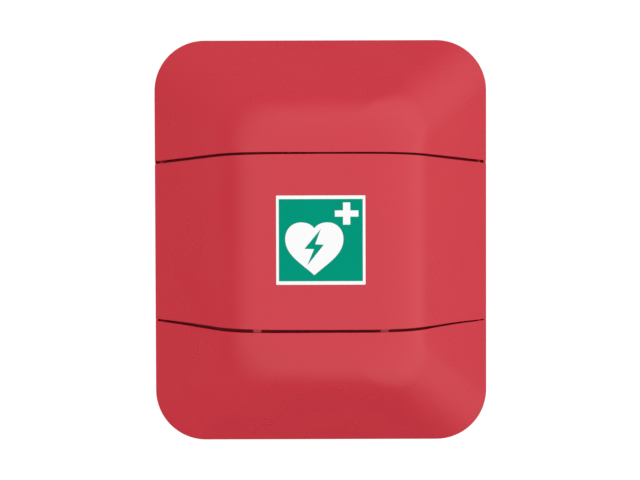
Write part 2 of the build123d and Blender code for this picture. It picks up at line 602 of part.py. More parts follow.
# ================================================================ steel tray
with BuildPart() as tray_bracket:
    shelf_low = TRAY_TOP_Z - TRAY_THICK
    add(brick((-TRAY_HALF_W, TRAY_HALF_W), (TRAY_BACK, TRAY_FRONT), (shelf_low, TRAY_TOP_Z)))
    plate_depths = (TRAY_BACK, TRAY_BACK + TRAY_THICK)
    add(brick((-TRAY_PLATE_HALF_W, TRAY_PLATE_HALF_W), plate_depths, (shelf_low, TRAY_PLATE_TOP)))
    lip_top = TRAY_TOP_Z + TRAY_LIP
    add(brick((-TRAY_HALF_W, TRAY_HALF_W), (TRAY_FRONT - TRAY_THICK, TRAY_FRONT), (shelf_low, lip_top)))
    for side in (-1, 1):
        edge_x = sorted((side * TRAY_HALF_W, side * (TRAY_HALF_W - TRAY_THICK)))
        add(brick(edge_x, (TRAY_BACK, TRAY_FRONT), (shelf_low, lip_top)))
    # rounded top corners of the back plate, then windows, drain holes and screw holes
    fillet(tray_bracket.edges().filter_by(Axis.Y).group_by(Axis.Z)[-1], 10)
    with BuildSketch(at_depth(TRAY_BACK)):
        with Locations(*TRAY_WINDOWS):
            RectangleRounded(*TRAY_WINDOW_SIZE, 8)
        with Locations(*TRAY_SCREWS):
            Circle(1.9)
    extrude(amount=TRAY_THICK, mode=Mode.SUBTRACT)
parts["tray_bracket"] = tray_bracket

with BuildPart() as tray_mat:
    with BuildSketch(Plane.XY.offset(TRAY_TOP_Z)):
        with Locations((0, -(TRAY_BACK + TRAY_FRONT) / 2 - 0.5)):
            RectangleRounded(2 * TRAY_HALF_W - 8, TRAY_FRONT - TRAY_BACK - 9, 3)
    extrude(amount=MAT_THICK)
parts["tray_mat"] = tray_mat

with BuildPart() as tray_screws:
    add(wall_screws(TRAY_SCREWS, TRAY_BACK + TRAY_THICK, 7.5, TRAY_SCREW_R - 0.05, 3.4, 2.0))
parts["tray_screws"] = tray_screws

# ================================================================ door alarm
ALARM_R = 6.0
ALARM_SCREW_INSET, ALARM_POST_R = 7.0, 3.6
alarm_screw_dx, alarm_screw_dz = ALARM_HALF_W - ALARM_SCREW_INSET, ALARM_HALF_H - ALARM_SCREW_INSET
alarm_screw_points = [
    (ALARM_X + side * alarm_screw_dx, ALARM_Z + side * alarm_screw_dz) for side in (-1, 1)
]
SIREN_SLOTS = [(-12, 10), (-8, 14), (-4, 16), (0, 17), (4, 16), (8, 14), (12, 10)]

with BuildPart() as alarm_base:
    add(plate(ALARM_HALF_W, ALARM_HALF_H, ALARM_R, BOX_WALL, ALARM_BASE_FRONT, ALARM_X, ALARM_Z))
    inner_w, inner_h = ALARM_HALF_W - ALARM_WALL, ALARM_HALF_H - ALARM_WALL
    hollow = plate(inner_w, inner_h, ALARM_R - ALARM_WALL, BOX_WALL + 2, ALARM_BASE_FRONT, ALARM_X, ALARM_Z)
    add(hollow, mode=Mode.SUBTRACT)
    for x, z in alarm_screw_points:
        add(drum(x, z, ALARM_POST_R, BOX_WALL + 1, ALARM_BASE_FRONT))
        add(drum(x, z, 1.3, BOX_WALL + 2, ALARM_BASE_FRONT + 1), mode=Mode.SUBTRACT)
parts["alarm_base"] = alarm_base

with BuildPart() as alarm_cover:
    add(plate(ALARM_HALF_W, ALARM_HALF_H, ALARM_R, ALARM_BASE_FRONT, ALARM_FRONT, ALARM_X, ALARM_Z))
    fillet(alarm_cover.faces().sort_by(Axis.Y)[0].edges(), 3.0)
    hollow = plate(
        inner_w, inner_h, ALARM_R - ALARM_WALL, ALARM_BASE_FRONT, ALARM_FRONT - ALARM_WALL, ALARM_X, ALARM_Z
    )
    add(hollow, mode=Mode.SUBTRACT)
    for x, z in alarm_screw_points:
        add(drum(x, z, ALARM_POST_R, ALARM_BASE_FRONT, ALARM_FRONT - 1))
        add(drum(x, z, 1.7, ALARM_BASE_FRONT, ALARM_FRONT + 1), mode=Mode.SUBTRACT)
        add(drum(x, z, 3.4, ALARM_FRONT - 3, ALARM_FRONT + 1), mode=Mode.SUBTRACT)
    with BuildSketch(at_depth(ALARM_FRONT + 1)):
        with Locations((SIREN_X, ALARM_Z)):
            for dz, half in SIREN_SLOTS:
                with Locations((0, dz)):
                    SlotOverall(2 * half, 1.8)
        with Locations((KEY_X, KEY_Z)):
            Circle(7.7)
        with Locations((LAMP_X, LAMP_Z)):
            Circle(2.6)
    extrude(amount=-ALARM_WALL - 2, mode=Mode.SUBTRACT)
parts["alarm_cover"] = alarm_cover

with BuildPart() as alarm_screws:
    add(wall_screws(alarm_screw_points, ALARM_FRONT - 3, 28, 1.2, 2.6, 1.6))
parts["alarm_screws"] = alarm_screws

ALARM_BOARD_FRONT = 17.0
with BuildPart() as alarm_board:
    add(plate(38, 23, 2, ALARM_BOARD_FRONT - 1.6, ALARM_BOARD_FRONT, ALARM_X, ALARM_Z))
    for x, z in alarm_screw_points:
        add(drum(x, z, 4.2, ALARM_BOARD_FRONT - 3, ALARM_BOARD_FRONT + 1), mode=Mode.SUBTRACT)
    chip_depths = (ALARM_BOARD_FRONT - 0.5, ALARM_BOARD_FRONT + 2)
    add(brick((ALARM_X + 4, ALARM_X + 12), chip_depths, (ALARM_Z - 6, ALARM_Z + 4)))
    add(drum(ALARM_X + 8, ALARM_Z + 14, 3.0, ALARM_BOARD_FRONT - 0.5, ALARM_BOARD_FRONT + 7))
parts["alarm_board"] = alarm_board

with BuildPart() as alarm_siren:
    add(drum(SIREN_X, ALARM_Z, 15.0, ALARM_BOARD_FRONT + 0.2, ALARM_FRONT - ALARM_WALL - 2.5))
    fillet(alarm_siren.edges().group_by(Axis.Y)[0], 1.5)
    add(drum(SIREN_X, ALARM_Z, 3.0, ALARM_FRONT - ALARM_WALL - 4, ALARM_FRONT), mode=Mode.SUBTRACT)
parts["alarm_siren"] = alarm_siren

with BuildPart() as alarm_battery:
    battery_z = (ALARM_Z - 18, ALARM_Z + 18)
    add(brick((ALARM_X - 36, ALARM_X + 11), (BOX_WALL + 2.2, ALARM_BOARD_FRONT - 1.9), battery_z))
    fillet(alarm_battery.edges().filter_by(Axis.X), 1.5)
    for x, z in alarm_screw_points:
        add(drum(x, z, 4.2, 0, ALARM_BOARD_FRONT), mode=Mode.SUBTRACT)
parts["alarm_battery"] = alarm_battery

with BuildPart() as alarm_lamp:
    add(drum(LAMP_X, LAMP_Z, 2.5, ALARM_FRONT - 8, ALARM_FRONT + 0.4))
    add(drum(LAMP_X, LAMP_Z, 3.2, ALARM_FRONT - 8, ALARM_FRONT - ALARM_WALL - 0.1))
    fillet(alarm_lamp.edges().group_by(Axis.Y)[0], 1.8)
parts["alarm_lamp"] = alarm_lamp

KEY_BODY_R, KEY_BORE_R, KEY_PLUG_R = 7.6, 5.25, 5.2
KEY_HALF_THICK, KEY_HALF_H = 0.8, 3.4
with BuildPart() as alarm_lock_body:
    add(drum(KEY_X, KEY_Z, KEY_BODY_R, ALARM_BOARD_FRONT + 2, ALARM_FRONT))
    add(drum(KEY_X, KEY_Z, 9.5, ALARM_FRONT, ALARM_FRONT + 1.6))
    fillet(alarm_lock_body.edges().group_by(Axis.Y)[0], 0.7)
    add(drum(KEY_X, KEY_Z, KEY_BORE_R, ALARM_BOARD_FRONT + 4, ALARM_FRONT + 2), mode=Mode.SUBTRACT)
parts["alarm_lock_body"] = alarm_lock_body

with BuildPart() as alarm_lock_plug:
    add(drum(KEY_X, KEY_Z, KEY_PLUG_R, ALARM_BOARD_FRONT + 4.2, ALARM_FRONT + 1.8))
    keyway_x = (KEY_X - KEY_HALF_THICK - 0.1, KEY_X + KEY_HALF_THICK + 0.1)
    keyway_z = (KEY_Z - KEY_HALF_H - 0.2, KEY_Z + KEY_HALF_H + 0.2)
    add(brick(keyway_x, (ALARM_FRONT - 12, ALARM_FRONT + 3), keyway_z), mode=Mode.SUBTRACT)
parts["alarm_lock_plug"] = alarm_lock_plug

with BuildPart() as alarm_key:
    blade_x = (KEY_X - KEY_HALF_THICK, KEY_X + KEY_HALF_THICK)
    blade_z = (KEY_Z - KEY_HALF_H, KEY_Z + KEY_HALF_H)
    add(brick(blade_x, (ALARM_FRONT - 10, ALARM_FRONT + 6), blade_z))
    with BuildSketch(Plane.YZ.offset(KEY_X - 1.3)):
        with Locations((-(ALARM_FRONT + 13), KEY_Z)):
            Ellipse(9.5, 8.5)
            with Locations((-4.0, 0)):
                Circle(2.2, mode=Mode.SUBTRACT)
    extrude(amount=2.6)
parts["alarm_key"] = alarm_key


# ================================================================ defibrillator
def case_block(inset, rear, front):
    """Block with the casing's outline moved inwards by `inset`."""
    return plate(AED_HALF_W - inset, AED_HALF_H - inset, AED_R - inset, rear, front, 0, AED_Z)


FASCIA_SEAT = AED_FRONT - FASCIA_THICK
POCKET_REAR = AED_FRONT - CARTRIDGE_DEEP - 1
BATTERY_POCKET = AED_BACK + BATTERY_DEEP + 1
case_post_points = [(x, AED_Z + z) for x, z in CASE_POSTS]
BUTTONS = (POWER_BUTTON, INFO_BUTTON, SHOCK_BUTTON)
board_post_points = [(x, FASCIA_Z + z) for x in (-73.0, 73.0) for z in (-34.0, 34.0)]
SKIN_INSIDE = FASCIA_SEAT - AED_WALL
SPEAKER_SLOTS = [(17.5, 8), (12.5, 14), (7.5, 17), (2.5, 18)]
SPEAKER_SLOTS += [(-dz, half) for dz, half in SPEAKER_SLOTS]


def around_window(grow, radius, rear, front):
    """Block round the status window's outline, grown on all sides."""
    half_w, half_h = WINDOW_HALF_W + grow, WINDOW_HALF_H + grow
    return plate(half_w, half_h, radius, rear, front, WINDOW_X, WINDOW_Z)


def around_cartridge(grow, rear, front):
    """Block round the pad cartridge's outline, grown on all sides."""
    half_w, half_h = CARTRIDGE_HALF_W + grow, CARTRIDGE_HALF_H + grow
    return plate(half_w, half_h, CARTRIDGE_R + grow, rear, front, CARTRIDGE_X, CARTRIDGE_Z)


def around_battery(grow, rear, front):
    """Block round the battery pack's outline, grown on all sides."""
    half_w, half_h = BATTERY_HALF_W + grow, BATTERY_HALF_H + grow
    return plate(half_w, half_h, BATTERY_R + grow, rear, front, BATTERY_X, BATTERY_Z)


cartridge_pocket = around_cartridge(POCKET_GAP, POCKET_REAR, AED_FRONT + 5)
cartridge_pocket_wall = around_cartridge(POCKET_WALL, POCKET_REAR - 2, AED_FRONT + 1)
battery_pocket = around_battery(POCKET_GAP, AED_BACK - 5, BATTERY_POCKET)
battery_pocket_wall = around_battery(POCKET_WALL, AED_BACK - 1, BATTERY_POCKET + 2)

with BuildPart() as gasket_ring:
    add(case_block(0.7, AED_SPLIT - 0.6, AED_SPLIT + 0.6))
    add(case_block(1.9, AED_SPLIT - 1, AED_SPLIT + 1), mode=Mode.SUBTRACT)

with BuildPart() as front_hollow:
    add(case_block(AED_WALL, AED_SPLIT, SKIN_INSIDE))
    fillet(front_hollow.faces().sort_by(Axis.Y)[0].edges(), CASE_FILLET - AED_WALL)
    add(cartridge_pocket_wall, mode=Mode.SUBTRACT)
    for x, z in case_post_points:
        add(drum(x, z, 4.0, AED_SPLIT, AED_FRONT), mode=Mode.SUBTRACT)
    for x, z in board_post_points:
        add(drum(x, z, 3.0, BOARD_FRONT, AED_FRONT), mode=Mode.SUBTRACT)

with BuildPart() as aed_front_case:
    add(case_block(0, AED_SPLIT, AED_FRONT))
    fillet(aed_front_case.faces().sort_by(Axis.Y)[0].edges(), CASE_FILLET)
    add(front_hollow.part, mode=Mode.SUBTRACT)
    add(cartridge_pocket, mode=Mode.SUBTRACT)
    # recess for the fascia with the openings of its buttons and window
    fascia_recess = plate(
        FASCIA_HALF_W + 0.2, FASCIA_HALF_H + 0.2, 12.2, FASCIA_SEAT, AED_FRONT + 1, 0, FASCIA_Z
    )
    add(fascia_recess, mode=Mode.SUBTRACT)
    for x, z, radius in BUTTONS:
        add(drum(x, z, radius + BUTTON_GAP, SKIN_INSIDE - 1, AED_FRONT), mode=Mode.SUBTRACT)
    add(around_window(-1.5, 1, SKIN_INSIDE - 1, AED_FRONT), mode=Mode.SUBTRACT)
    # speaker slots
    with BuildSketch(at_depth(AED_FRONT + 1)):
        with Locations((SPEAKER_X, SPEAKER_Z)):
            for dz, half in SPEAKER_SLOTS:
                with Locations((0, dz)):
                    SlotOverall(2 * half, 2.2)
    extrude(amount=-8, mode=Mode.SUBTRACT)
    # blind screw holes in both sets of posts, and the groove of the gasket
    for x, z in case_post_points:
        add(drum(x, z, 1.3, AED_SPLIT - 1, AED_SPLIT + 14), mode=Mode.SUBTRACT)
    for x, z in board_post_points:
        add(drum(x, z, 1.0, BOARD_FRONT - 1, BOARD_FRONT + 8), mode=Mode.SUBTRACT)
    add(gasket_ring.part, mode=Mode.SUBTRACT)
    for x, y in HANDLE_SCREWS:
        add(upright(x, -y, 1.7, AED_TOP - 5, AED_TOP + 1), mode=Mode.SUBTRACT)
parts["aed_front_case"] = aed_front_case

with BuildPart() as rear_hollow:
    add(case_block(AED_WALL, AED_BACK + AED_WALL, AED_SPLIT))
    fillet(rear_hollow.faces().sort_by(Axis.Y)[-1].edges(), CASE_FILLET - AED_WALL)
    add(battery_pocket_wall, mode=Mode.SUBTRACT)
    for x, z in case_post_points:
        add(drum(x, z, 4.6, AED_BACK, AED_SPLIT), mode=Mode.SUBTRACT)

POST_SEAT = AED_SPLIT - 8
BATTERY_TOP = BATTERY_Z + BATTERY_HALF_H
LATCH_ROOM_TOP = BATTERY_TOP + LATCH_HEIGHT + LATCH_TRAVEL + 0.6
with BuildPart() as aed_rear_case:
    add(case_block(0, AED_BACK, AED_SPLIT))
    fillet(aed_rear_case.faces().sort_by(Axis.Y)[-1].edges(), CASE_FILLET)
    add(rear_hollow.part, mode=Mode.SUBTRACT)
    add(battery_pocket, mode=Mode.SUBTRACT)
    latch_slot = brick(
        (BATTERY_X - LATCH_HALF_W - 0.3, BATTERY_X + LATCH_HALF_W + 0.3),
        (AED_BACK - 1, AED_BACK + AED_WALL + 3.4),
        (BATTERY_TOP - 1, LATCH_ROOM_TOP),
    )
    latch_floor = brick(
        (BATTERY_X - LATCH_HALF_W - 2, BATTERY_X + LATCH_HALF_W + 2),
        (AED_BACK + 1, AED_BACK + AED_WALL + 5.2),
        (BATTERY_TOP + 1.5, LATCH_ROOM_TOP + 1.8),
    )
    add(latch_floor)
    add(latch_slot, mode=Mode.SUBTRACT)
    for x, z in case_post_points:
        add(drum(x, z, 1.7, AED_BACK - 1, AED_SPLIT + 1), mode=Mode.SUBTRACT)
        add(drum(x, z, 3.3, AED_BACK - 1, POST_SEAT), mode=Mode.SUBTRACT)
    add(gasket_ring.part, mode=Mode.SUBTRACT)
    for x, y in HANDLE_SCREWS:
        add(upright(x, -y, 1.7, AED_TOP - 5, AED_TOP + 1), mode=Mode.SUBTRACT)
parts["aed_rear_case"] = aed_rear_case

with BuildPart() as aed_case_gasket:
    add(gasket_ring.part)
parts["aed_case_gasket"] = aed_case_gasket

# Rubber bumper round the sides and the foot, open at the top
with BuildPart() as aed_bumper:
    add(case_block(-BUMPER, AED_SPLIT - BUMPER_HALF_D, AED_SPLIT + BUMPER_HALF_D))
    for face in (0, -1):
        fillet(aed_bumper.faces().sort_by(Axis.Y)[face].edges(), 1.4)
    add(case_block(0, AED_BACK, AED_FRONT), mode=Mode.SUBTRACT)
    above = (AED_TOP - BUMPER_TOP_DROP, AED_TOP + 10)
    add(brick((-HALF_W, HALF_W), (AED_BACK, AED_FRONT), above), mode=Mode.SUBTRACT)
parts["aed_bumper"] = aed_bumper

# Carrying handle, screwed to the top of the case from inside
with BuildPart() as aed_handle:
    with BuildSketch(at_depth(HANDLE_REAR)):
        with Locations((0, AED_TOP)):
            RectangleRounded(2 * HANDLE_HALF_W, 2 * HANDLE_RISE, HANDLE_R)
    extrude(amount=HANDLE_FRONT - HANDLE_REAR)
    for face in (0, -1):
        fillet(aed_handle.faces().sort_by(Axis.Y)[face].edges(), 4)
    with BuildSketch(at_depth(HANDLE_REAR - 1)):
        with Locations((0, AED_TOP)):
            RectangleRounded(2 * HAND_HALF_W, 2 * HAND_RISE, HAND_R)
    extrude(amount=HANDLE_FRONT - HANDLE_REAR + 2, mode=Mode.SUBTRACT)
    below = (AED_TOP - HANDLE_RISE - 1, AED_TOP)
    add(brick((-HALF_W, HALF_W), (HANDLE_REAR - 1, HANDLE_FRONT + 1), below), mode=Mode.SUBTRACT)
    for x, y in HANDLE_SCREWS:
        add(upright(x, -y, 1.3, AED_TOP - 1, AED_TOP + 12), mode=Mode.SUBTRACT)
parts["aed_handle"] = aed_handle

with BuildPart() as aed_handle_screws:
    for x, y in HANDLE_SCREWS:
        add(upright(x, -y, 1.25, AED_TOP - AED_WALL - 0.5, AED_TOP + 11))
        add(upright(x, -y, 3.0, AED_TOP - AED_WALL - 1.8, AED_TOP - AED_WALL))
parts["aed_handle_screws"] = aed_handle_screws

with BuildPart() as aed_handle_grip:
    with BuildSketch(at_depth(HANDLE_REAR + 4)):
        with Locations((0, AED_TOP + HAND_RISE - GRIP_THICK / 2)):
            RectangleRounded(2 * GRIP_HALF_W, GRIP_THICK, 1.0)
    extrude(amount=HANDLE_FRONT - HANDLE_REAR - 8)
parts["aed_handle_grip"] = aed_handle_grip

with BuildPart() as aed_case_screws:
    add(wall_screws(case_post_points, POST_SEAT, 20, 1.2, 2.9, 1.8, from_behind=True))
parts["aed_case_screws"] = aed_case_screws

with BuildPart() as aed_fascia:
    add(plate(FASCIA_HALF_W, FASCIA_HALF_H, 12, FASCIA_SEAT, AED_FRONT - 0.1, 0, FASCIA_Z))
    fillet(aed_fascia.faces().sort_by(Axis.Y)[0].edges(), 0.5)
    for x, z, radius in BUTTONS:
        grow = RING_WIDTH + 0.2 if radius == SHOCK_BUTTON[2] else BUTTON_GAP
        add(drum(x, z, radius + grow, FASCIA_SEAT - 1, AED_FRONT + 1), mode=Mode.SUBTRACT)
    add(around_window(0.1, 3.1, FASCIA_SEAT - 1, AED_FRONT + 1), mode=Mode.SUBTRACT)
parts["aed_fascia"] = aed_fascia

with BuildPart() as aed_status_window:
    add(around_window(0, 3, FASCIA_SEAT, AED_FRONT))
    fillet(aed_status_window.faces().sort_by(Axis.Y)[0].edges(), 0.5)
parts["aed_status_window"] = aed_status_window

with BuildPart() as aed_status_display:
    add(around_window(-2, 0.6, BOARD_FRONT, FASCIA_SEAT - 0.3))
parts["aed_status_display"] = aed_status_display

with BuildPart() as aed_shock_ring:
    x, z, radius = SHOCK_BUTTON
    add(drum(x, z, radius + RING_WIDTH, FASCIA_SEAT, AED_FRONT + 0.3))
    fillet(aed_shock_ring.edges().group_by(Axis.Y)[0], 0.6)
    add(drum(x, z, radius + BUTTON_GAP, FASCIA_SEAT - 1, AED_FRONT + 1), mode=Mode.SUBTRACT)
parts["aed_shock_ring"] = aed_shock_ring


def button(x, z, radius, crown):
    """Push button: a crowned cap through the casing with a flange behind it that keeps it in."""
    top = AED_FRONT + BUTTON_PROUD
    with BuildPart() as cap:
        add(drum(x, z, radius, SKIN_INSIDE - 0.4, top))
        fillet(cap.edges().group_by(Axis.Y)[0], crown)
        add(drum(x, z, radius + 1.6, SKIN_INSIDE - 0.4 - BUTTON_FLANGE, SKIN_INSIDE - 0.4))
        add(drum(x, z, 2.5, SKIN_INSIDE - 5.2, SKIN_INSIDE - 1))
    return cap.part


with BuildPart() as aed_power_button:
    add(button(*POWER_BUTTON, 1.8))
parts["aed_power_button"] = aed_power_button

with BuildPart() as aed_info_button:
    add(button(*INFO_BUTTON, 1.4))
parts["aed_info_button"] = aed_info_button

with BuildPart() as aed_shock_button:
    add(button(*SHOCK_BUTTON, 2.2))
parts["aed_shock_button"] = aed_shock_button

# (x, z from the fascia's centre, half width, half height, thickness) of the board's components
CHIPS = [
    (-20, 20, 8, 8, 1.4),
    (-22, -16, 6, 9, 1.2),
    (4, 2, 5, 5, 1.2),
    (8, -28, 9, 4, 2.4),
    (-40, -2, 4, 7, 1.6),
]
with BuildPart() as aed_main_board:
    add(plate(BOARD_HALF_W, BOARD_HALF_H, 3, BOARD_FRONT - BOARD_THICK, BOARD_FRONT, 0, FASCIA_Z))
    for x, z in board_post_points:
        add(drum(x, z, 1.3, BOARD_FRONT - 5, BOARD_FRONT + 1), mode=Mode.SUBTRACT)
    for x, z, _ in BUTTONS:
        add(brick((x - 3, x + 3), (BOARD_FRONT - 0.5, BOARD_FRONT + 2.8), (z - 3, z + 3)))
    rear_face = BOARD_FRONT - BOARD_THICK
    for dx, dz, half_w, half_h, tall in CHIPS:
        chip_z = (FASCIA_Z + dz - half_h, FASCIA_Z + dz + half_h)
        add(brick((dx - half_w, dx + half_w), (rear_face - tall, rear_face + 0.5), chip_z))
parts["aed_main_board"] = aed_main_board

with BuildPart() as aed_board_screws:
    add(wall_screws(board_post_points, BOARD_FRONT - BOARD_THICK, 8, 0.95, 2.2, 1.4, from_behind=True))
parts["aed_board_screws"] = aed_board_screws

CAPACITOR_R, CAPACITOR_DEPTH, CAPACITOR_Z = 17.0, 38.0, AED_Z + 34.0
CAPACITOR_LEFT, CAPACITOR_LENGTH = -72.0, 66.0
with BuildPart() as aed_capacitor:
    with BuildSketch(Plane.YZ.offset(CAPACITOR_LEFT)):
        with Locations((-CAPACITOR_DEPTH, CAPACITOR_Z)):
            Circle(CAPACITOR_R)
    extrude(amount=CAPACITOR_LENGTH)
    fillet(aed_capacitor.edges(), 1.6)
    for dz in (-5.0, 5.0):
        with BuildSketch(Plane.YZ.offset(CAPACITOR_LEFT + CAPACITOR_LENGTH - 1)):
            with Locations((-CAPACITOR_DEPTH, CAPACITOR_Z + dz)):
                Circle(1.6)
        extrude(amount=6)
parts["aed_capacitor"] = aed_capacitor

with BuildPart() as aed_capacitor_cradle:
    cradle_z = CAPACITOR_Z - CAPACITOR_R - 3
    for x in (-60.0, -20.0):
        add(brick((x - 5, x + 5), (AED_BACK + AED_WALL, 46), (cradle_z, CAPACITOR_Z + 1)))
    with BuildSketch(Plane.YZ.offset(-80)):
        with Locations((-CAPACITOR_DEPTH, CAPACITOR_Z)):
            Circle(CAPACITOR_R + 0.1)
    extrude(amount=80, mode=Mode.SUBTRACT)
parts["aed_capacitor_cradle"] = aed_capacitor_cradle

with BuildPart() as aed_speaker:
    add(drum(SPEAKER_X, SPEAKER_Z, SPEAKER_R, AED_FRONT - 10, AED_FRONT - AED_WALL - 1.8))
    add(drum(SPEAKER_X, SPEAKER_Z, 17.0, AED_FRONT - 18, AED_FRONT - 9))
    add(drum(SPEAKER_X, SPEAKER_Z, 12.0, AED_FRONT - 25, AED_FRONT - 17))
    with BuildSketch(at_depth(AED_FRONT - AED_WALL - 1.8)):
        with Locations((SPEAKER_X, SPEAKER_Z)):
            Circle(SPEAKER_R - 4)
    extrude(amount=-4, taper=35, mode=Mode.SUBTRACT)
    add(drum(SPEAKER_X, SPEAKER_Z, 6.0, AED_FRONT - 10, AED_FRONT - AED_WALL - 4))
parts["aed_speaker"] = aed_speaker

# Pad cartridge: drawer, sealed lid, the two folded pads inside and its contact block
SHELL = 1.6
with BuildPart() as pad_cartridge:
    drawer_rear, drawer_front = AED_FRONT - CARTRIDGE_DEEP, AED_FRONT - 1.2
    add(around_cartridge(0, drawer_rear, drawer_front))
    add(around_cartridge(-SHELL, drawer_rear + SHELL, AED_FRONT), mode=Mode.SUBTRACT)
parts["pad_cartridge"] = pad_cartridge

with BuildPart() as cartridge_lid:
    add(around_cartridge(0, drawer_front, AED_FRONT + 1.2))
    fillet(cartridge_lid.faces().sort_by(Axis.Y)[0].edges(), 1.0)
    add(plate(22, 7, 6.9, AED_FRONT - 0.2, AED_FRONT + 2, CARTRIDGE_X, CARTRIDGE_Z), mode=Mode.SUBTRACT)
parts["cartridge_lid"] = cartridge_lid

PULL_FOOT_DX, PULL_HALF_W, PULL_HALF_H = 17.0, 19.0, 3.0
with BuildPart() as cartridge_pull:
    pull_z = (CARTRIDGE_Z - PULL_HALF_H, CARTRIDGE_Z + PULL_HALF_H)
    for foot_x in (CARTRIDGE_X - PULL_FOOT_DX, CARTRIDGE_X + PULL_FOOT_DX):
        add(brick((foot_x - 2, foot_x + 2), (AED_FRONT - 0.2, AED_FRONT + 5), pull_z))
    add(plate(PULL_HALF_W, PULL_HALF_H, 2.9, AED_FRONT + 4, AED_FRONT + 7.5, CARTRIDGE_X, CARTRIDGE_Z))
    fillet(cartridge_pull.faces().sort_by(Axis.Y)[0].edges(), 1.2)
parts["cartridge_pull"] = cartridge_pull

with BuildPart() as electrode_pads:
    for rear in (drawer_rear + 3, drawer_rear + 15):
        add(plate(50, 18, 14, rear, rear + 10, CARTRIDGE_X, CARTRIDGE_Z))
parts["electrode_pads"] = electrode_pads

# Battery pack in its pocket in the back, and the sliding latch above it
with BuildPart() as battery_pack:
    add(around_battery(0, AED_BACK + 0.4, AED_BACK + BATTERY_DEEP))
    fillet(battery_pack.faces().sort_by(Axis.Y)[-1].edges(), 1.2)
    notch_x, notch_depths = (BATTERY_X - 8, BATTERY_X + 8), (AED_BACK + 2.2, AED_BACK + 5.4)
    add(brick(notch_x, notch_depths, (BATTERY_TOP - 2.6, BATTERY_TOP + 1)), mode=Mode.SUBTRACT)
    add(plate(20, 4, 3.9, AED_BACK - 1, AED_BACK + 3, BATTERY_X, BATTERY_Z - 18), mode=Mode.SUBTRACT)
parts["battery_pack"] = battery_pack

with BuildPart() as battery_latch:
    latch_low = BATTERY_TOP + 0.8
    latch_high = latch_low + LATCH_HEIGHT - 1
    latch_x = (BATTERY_X - LATCH_HALF_W, BATTERY_X + LATCH_HALF_W)
    add(brick(latch_x, (AED_BACK + 0.6, AED_BACK + 5.4), (latch_low, latch_high)))
    fillet(battery_latch.edges().filter_by(Axis.Y), 1.5)
    tongue_x, tongue_depths = (BATTERY_X - 7.5, BATTERY_X + 7.5), (AED_BACK + 2.6, AED_BACK + 5.0)
    add(brick(tongue_x, tongue_depths, (latch_low - 2.6, latch_low + 1)))
    for dz in (2.0, 4.0, 6.0):
        rib_low = latch_low + dz - 0.4
        add(brick((BATTERY_X - 9, BATTERY_X + 9), (AED_BACK, AED_BACK + 1), (rib_low, rib_low + 0.8)))
parts["battery_latch"] = battery_latch

# ================================================================ export
os.makedirs("parts", exist_ok=True)
for name, builder in parts.items():
    builder.part.label = name
    export_step(builder.part, f"parts/{name}.step")
print(len(parts), "sub-parts written")
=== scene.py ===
import math

import bmesh
import bpy
from mathutils import Matrix, Vector


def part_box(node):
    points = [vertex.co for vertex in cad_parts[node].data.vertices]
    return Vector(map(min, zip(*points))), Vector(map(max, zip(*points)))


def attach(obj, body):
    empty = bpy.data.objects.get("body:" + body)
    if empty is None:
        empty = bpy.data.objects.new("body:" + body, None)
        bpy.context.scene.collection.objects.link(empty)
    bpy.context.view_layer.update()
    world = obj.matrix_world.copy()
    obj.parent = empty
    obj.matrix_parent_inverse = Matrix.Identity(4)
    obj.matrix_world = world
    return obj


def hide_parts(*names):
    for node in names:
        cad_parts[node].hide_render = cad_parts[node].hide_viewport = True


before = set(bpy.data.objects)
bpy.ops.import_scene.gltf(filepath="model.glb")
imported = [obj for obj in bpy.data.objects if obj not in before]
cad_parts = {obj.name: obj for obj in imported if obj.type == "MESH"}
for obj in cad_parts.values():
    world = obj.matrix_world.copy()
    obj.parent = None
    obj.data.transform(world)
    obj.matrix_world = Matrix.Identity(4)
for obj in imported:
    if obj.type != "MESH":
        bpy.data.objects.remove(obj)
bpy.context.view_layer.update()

MM = 0.001

# ---------------------------------------------------------------- the hood's driving sizes, metres
BAND_LOW, BAND_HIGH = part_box("hood_middle_band")
HALF_W, HALF_H = BAND_HIGH.x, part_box("hood_top_cap")[1].z
DEPTH, SKIRT_REAR = -BAND_LOW.y, -BAND_HIGH.y
RIM_DEPTH, RIM_R, RIM_FILLET = 52 * MM, 64 * MM, 2.5 * MM
FACE_HALF_W, FACE_HALF_H, FACE_R = 96.5 * MM, 147 * MM, 50 * MM
WALL, LIP_R = 3 * MM, 0.9 * MM
BLEND_SIDE, BLEND_TOP = 0.3515, 0.389      # how far the soft edge reaches inwards, in slope runs
RISE = DEPTH - RIM_DEPTH
CORE_RIM = (HALF_W - RIM_R, HALF_H - RIM_R)
CORE_FACE = (FACE_HALF_W - FACE_R, FACE_HALF_H - FACE_R)
SEAM_Z = 100 * MM
UPPER_GAP, LOWER_GAP = 2.4 * MM, 3.2 * MM
EDGE_R = 0.3 * MM
# how wide each seam stands open along x, in millimetres: it varies a little from the nominal gap
UPPER_OPEN = [(-212, 3.8), (-150, 3.6), (-70, 2.7), (0, 2.0), (70, 2.3), (110, 2.5), (165, 3.5), (212, 3.2)]
LOWER_OPEN = [(-212, 3.2), (-150, 4.0), (-90, 4.1), (-60, 3.6), (0, 3.2), (80, 3.3), (121, 3.2), (129, 2.7),
              (160, 2.3), (212, 1.5)]
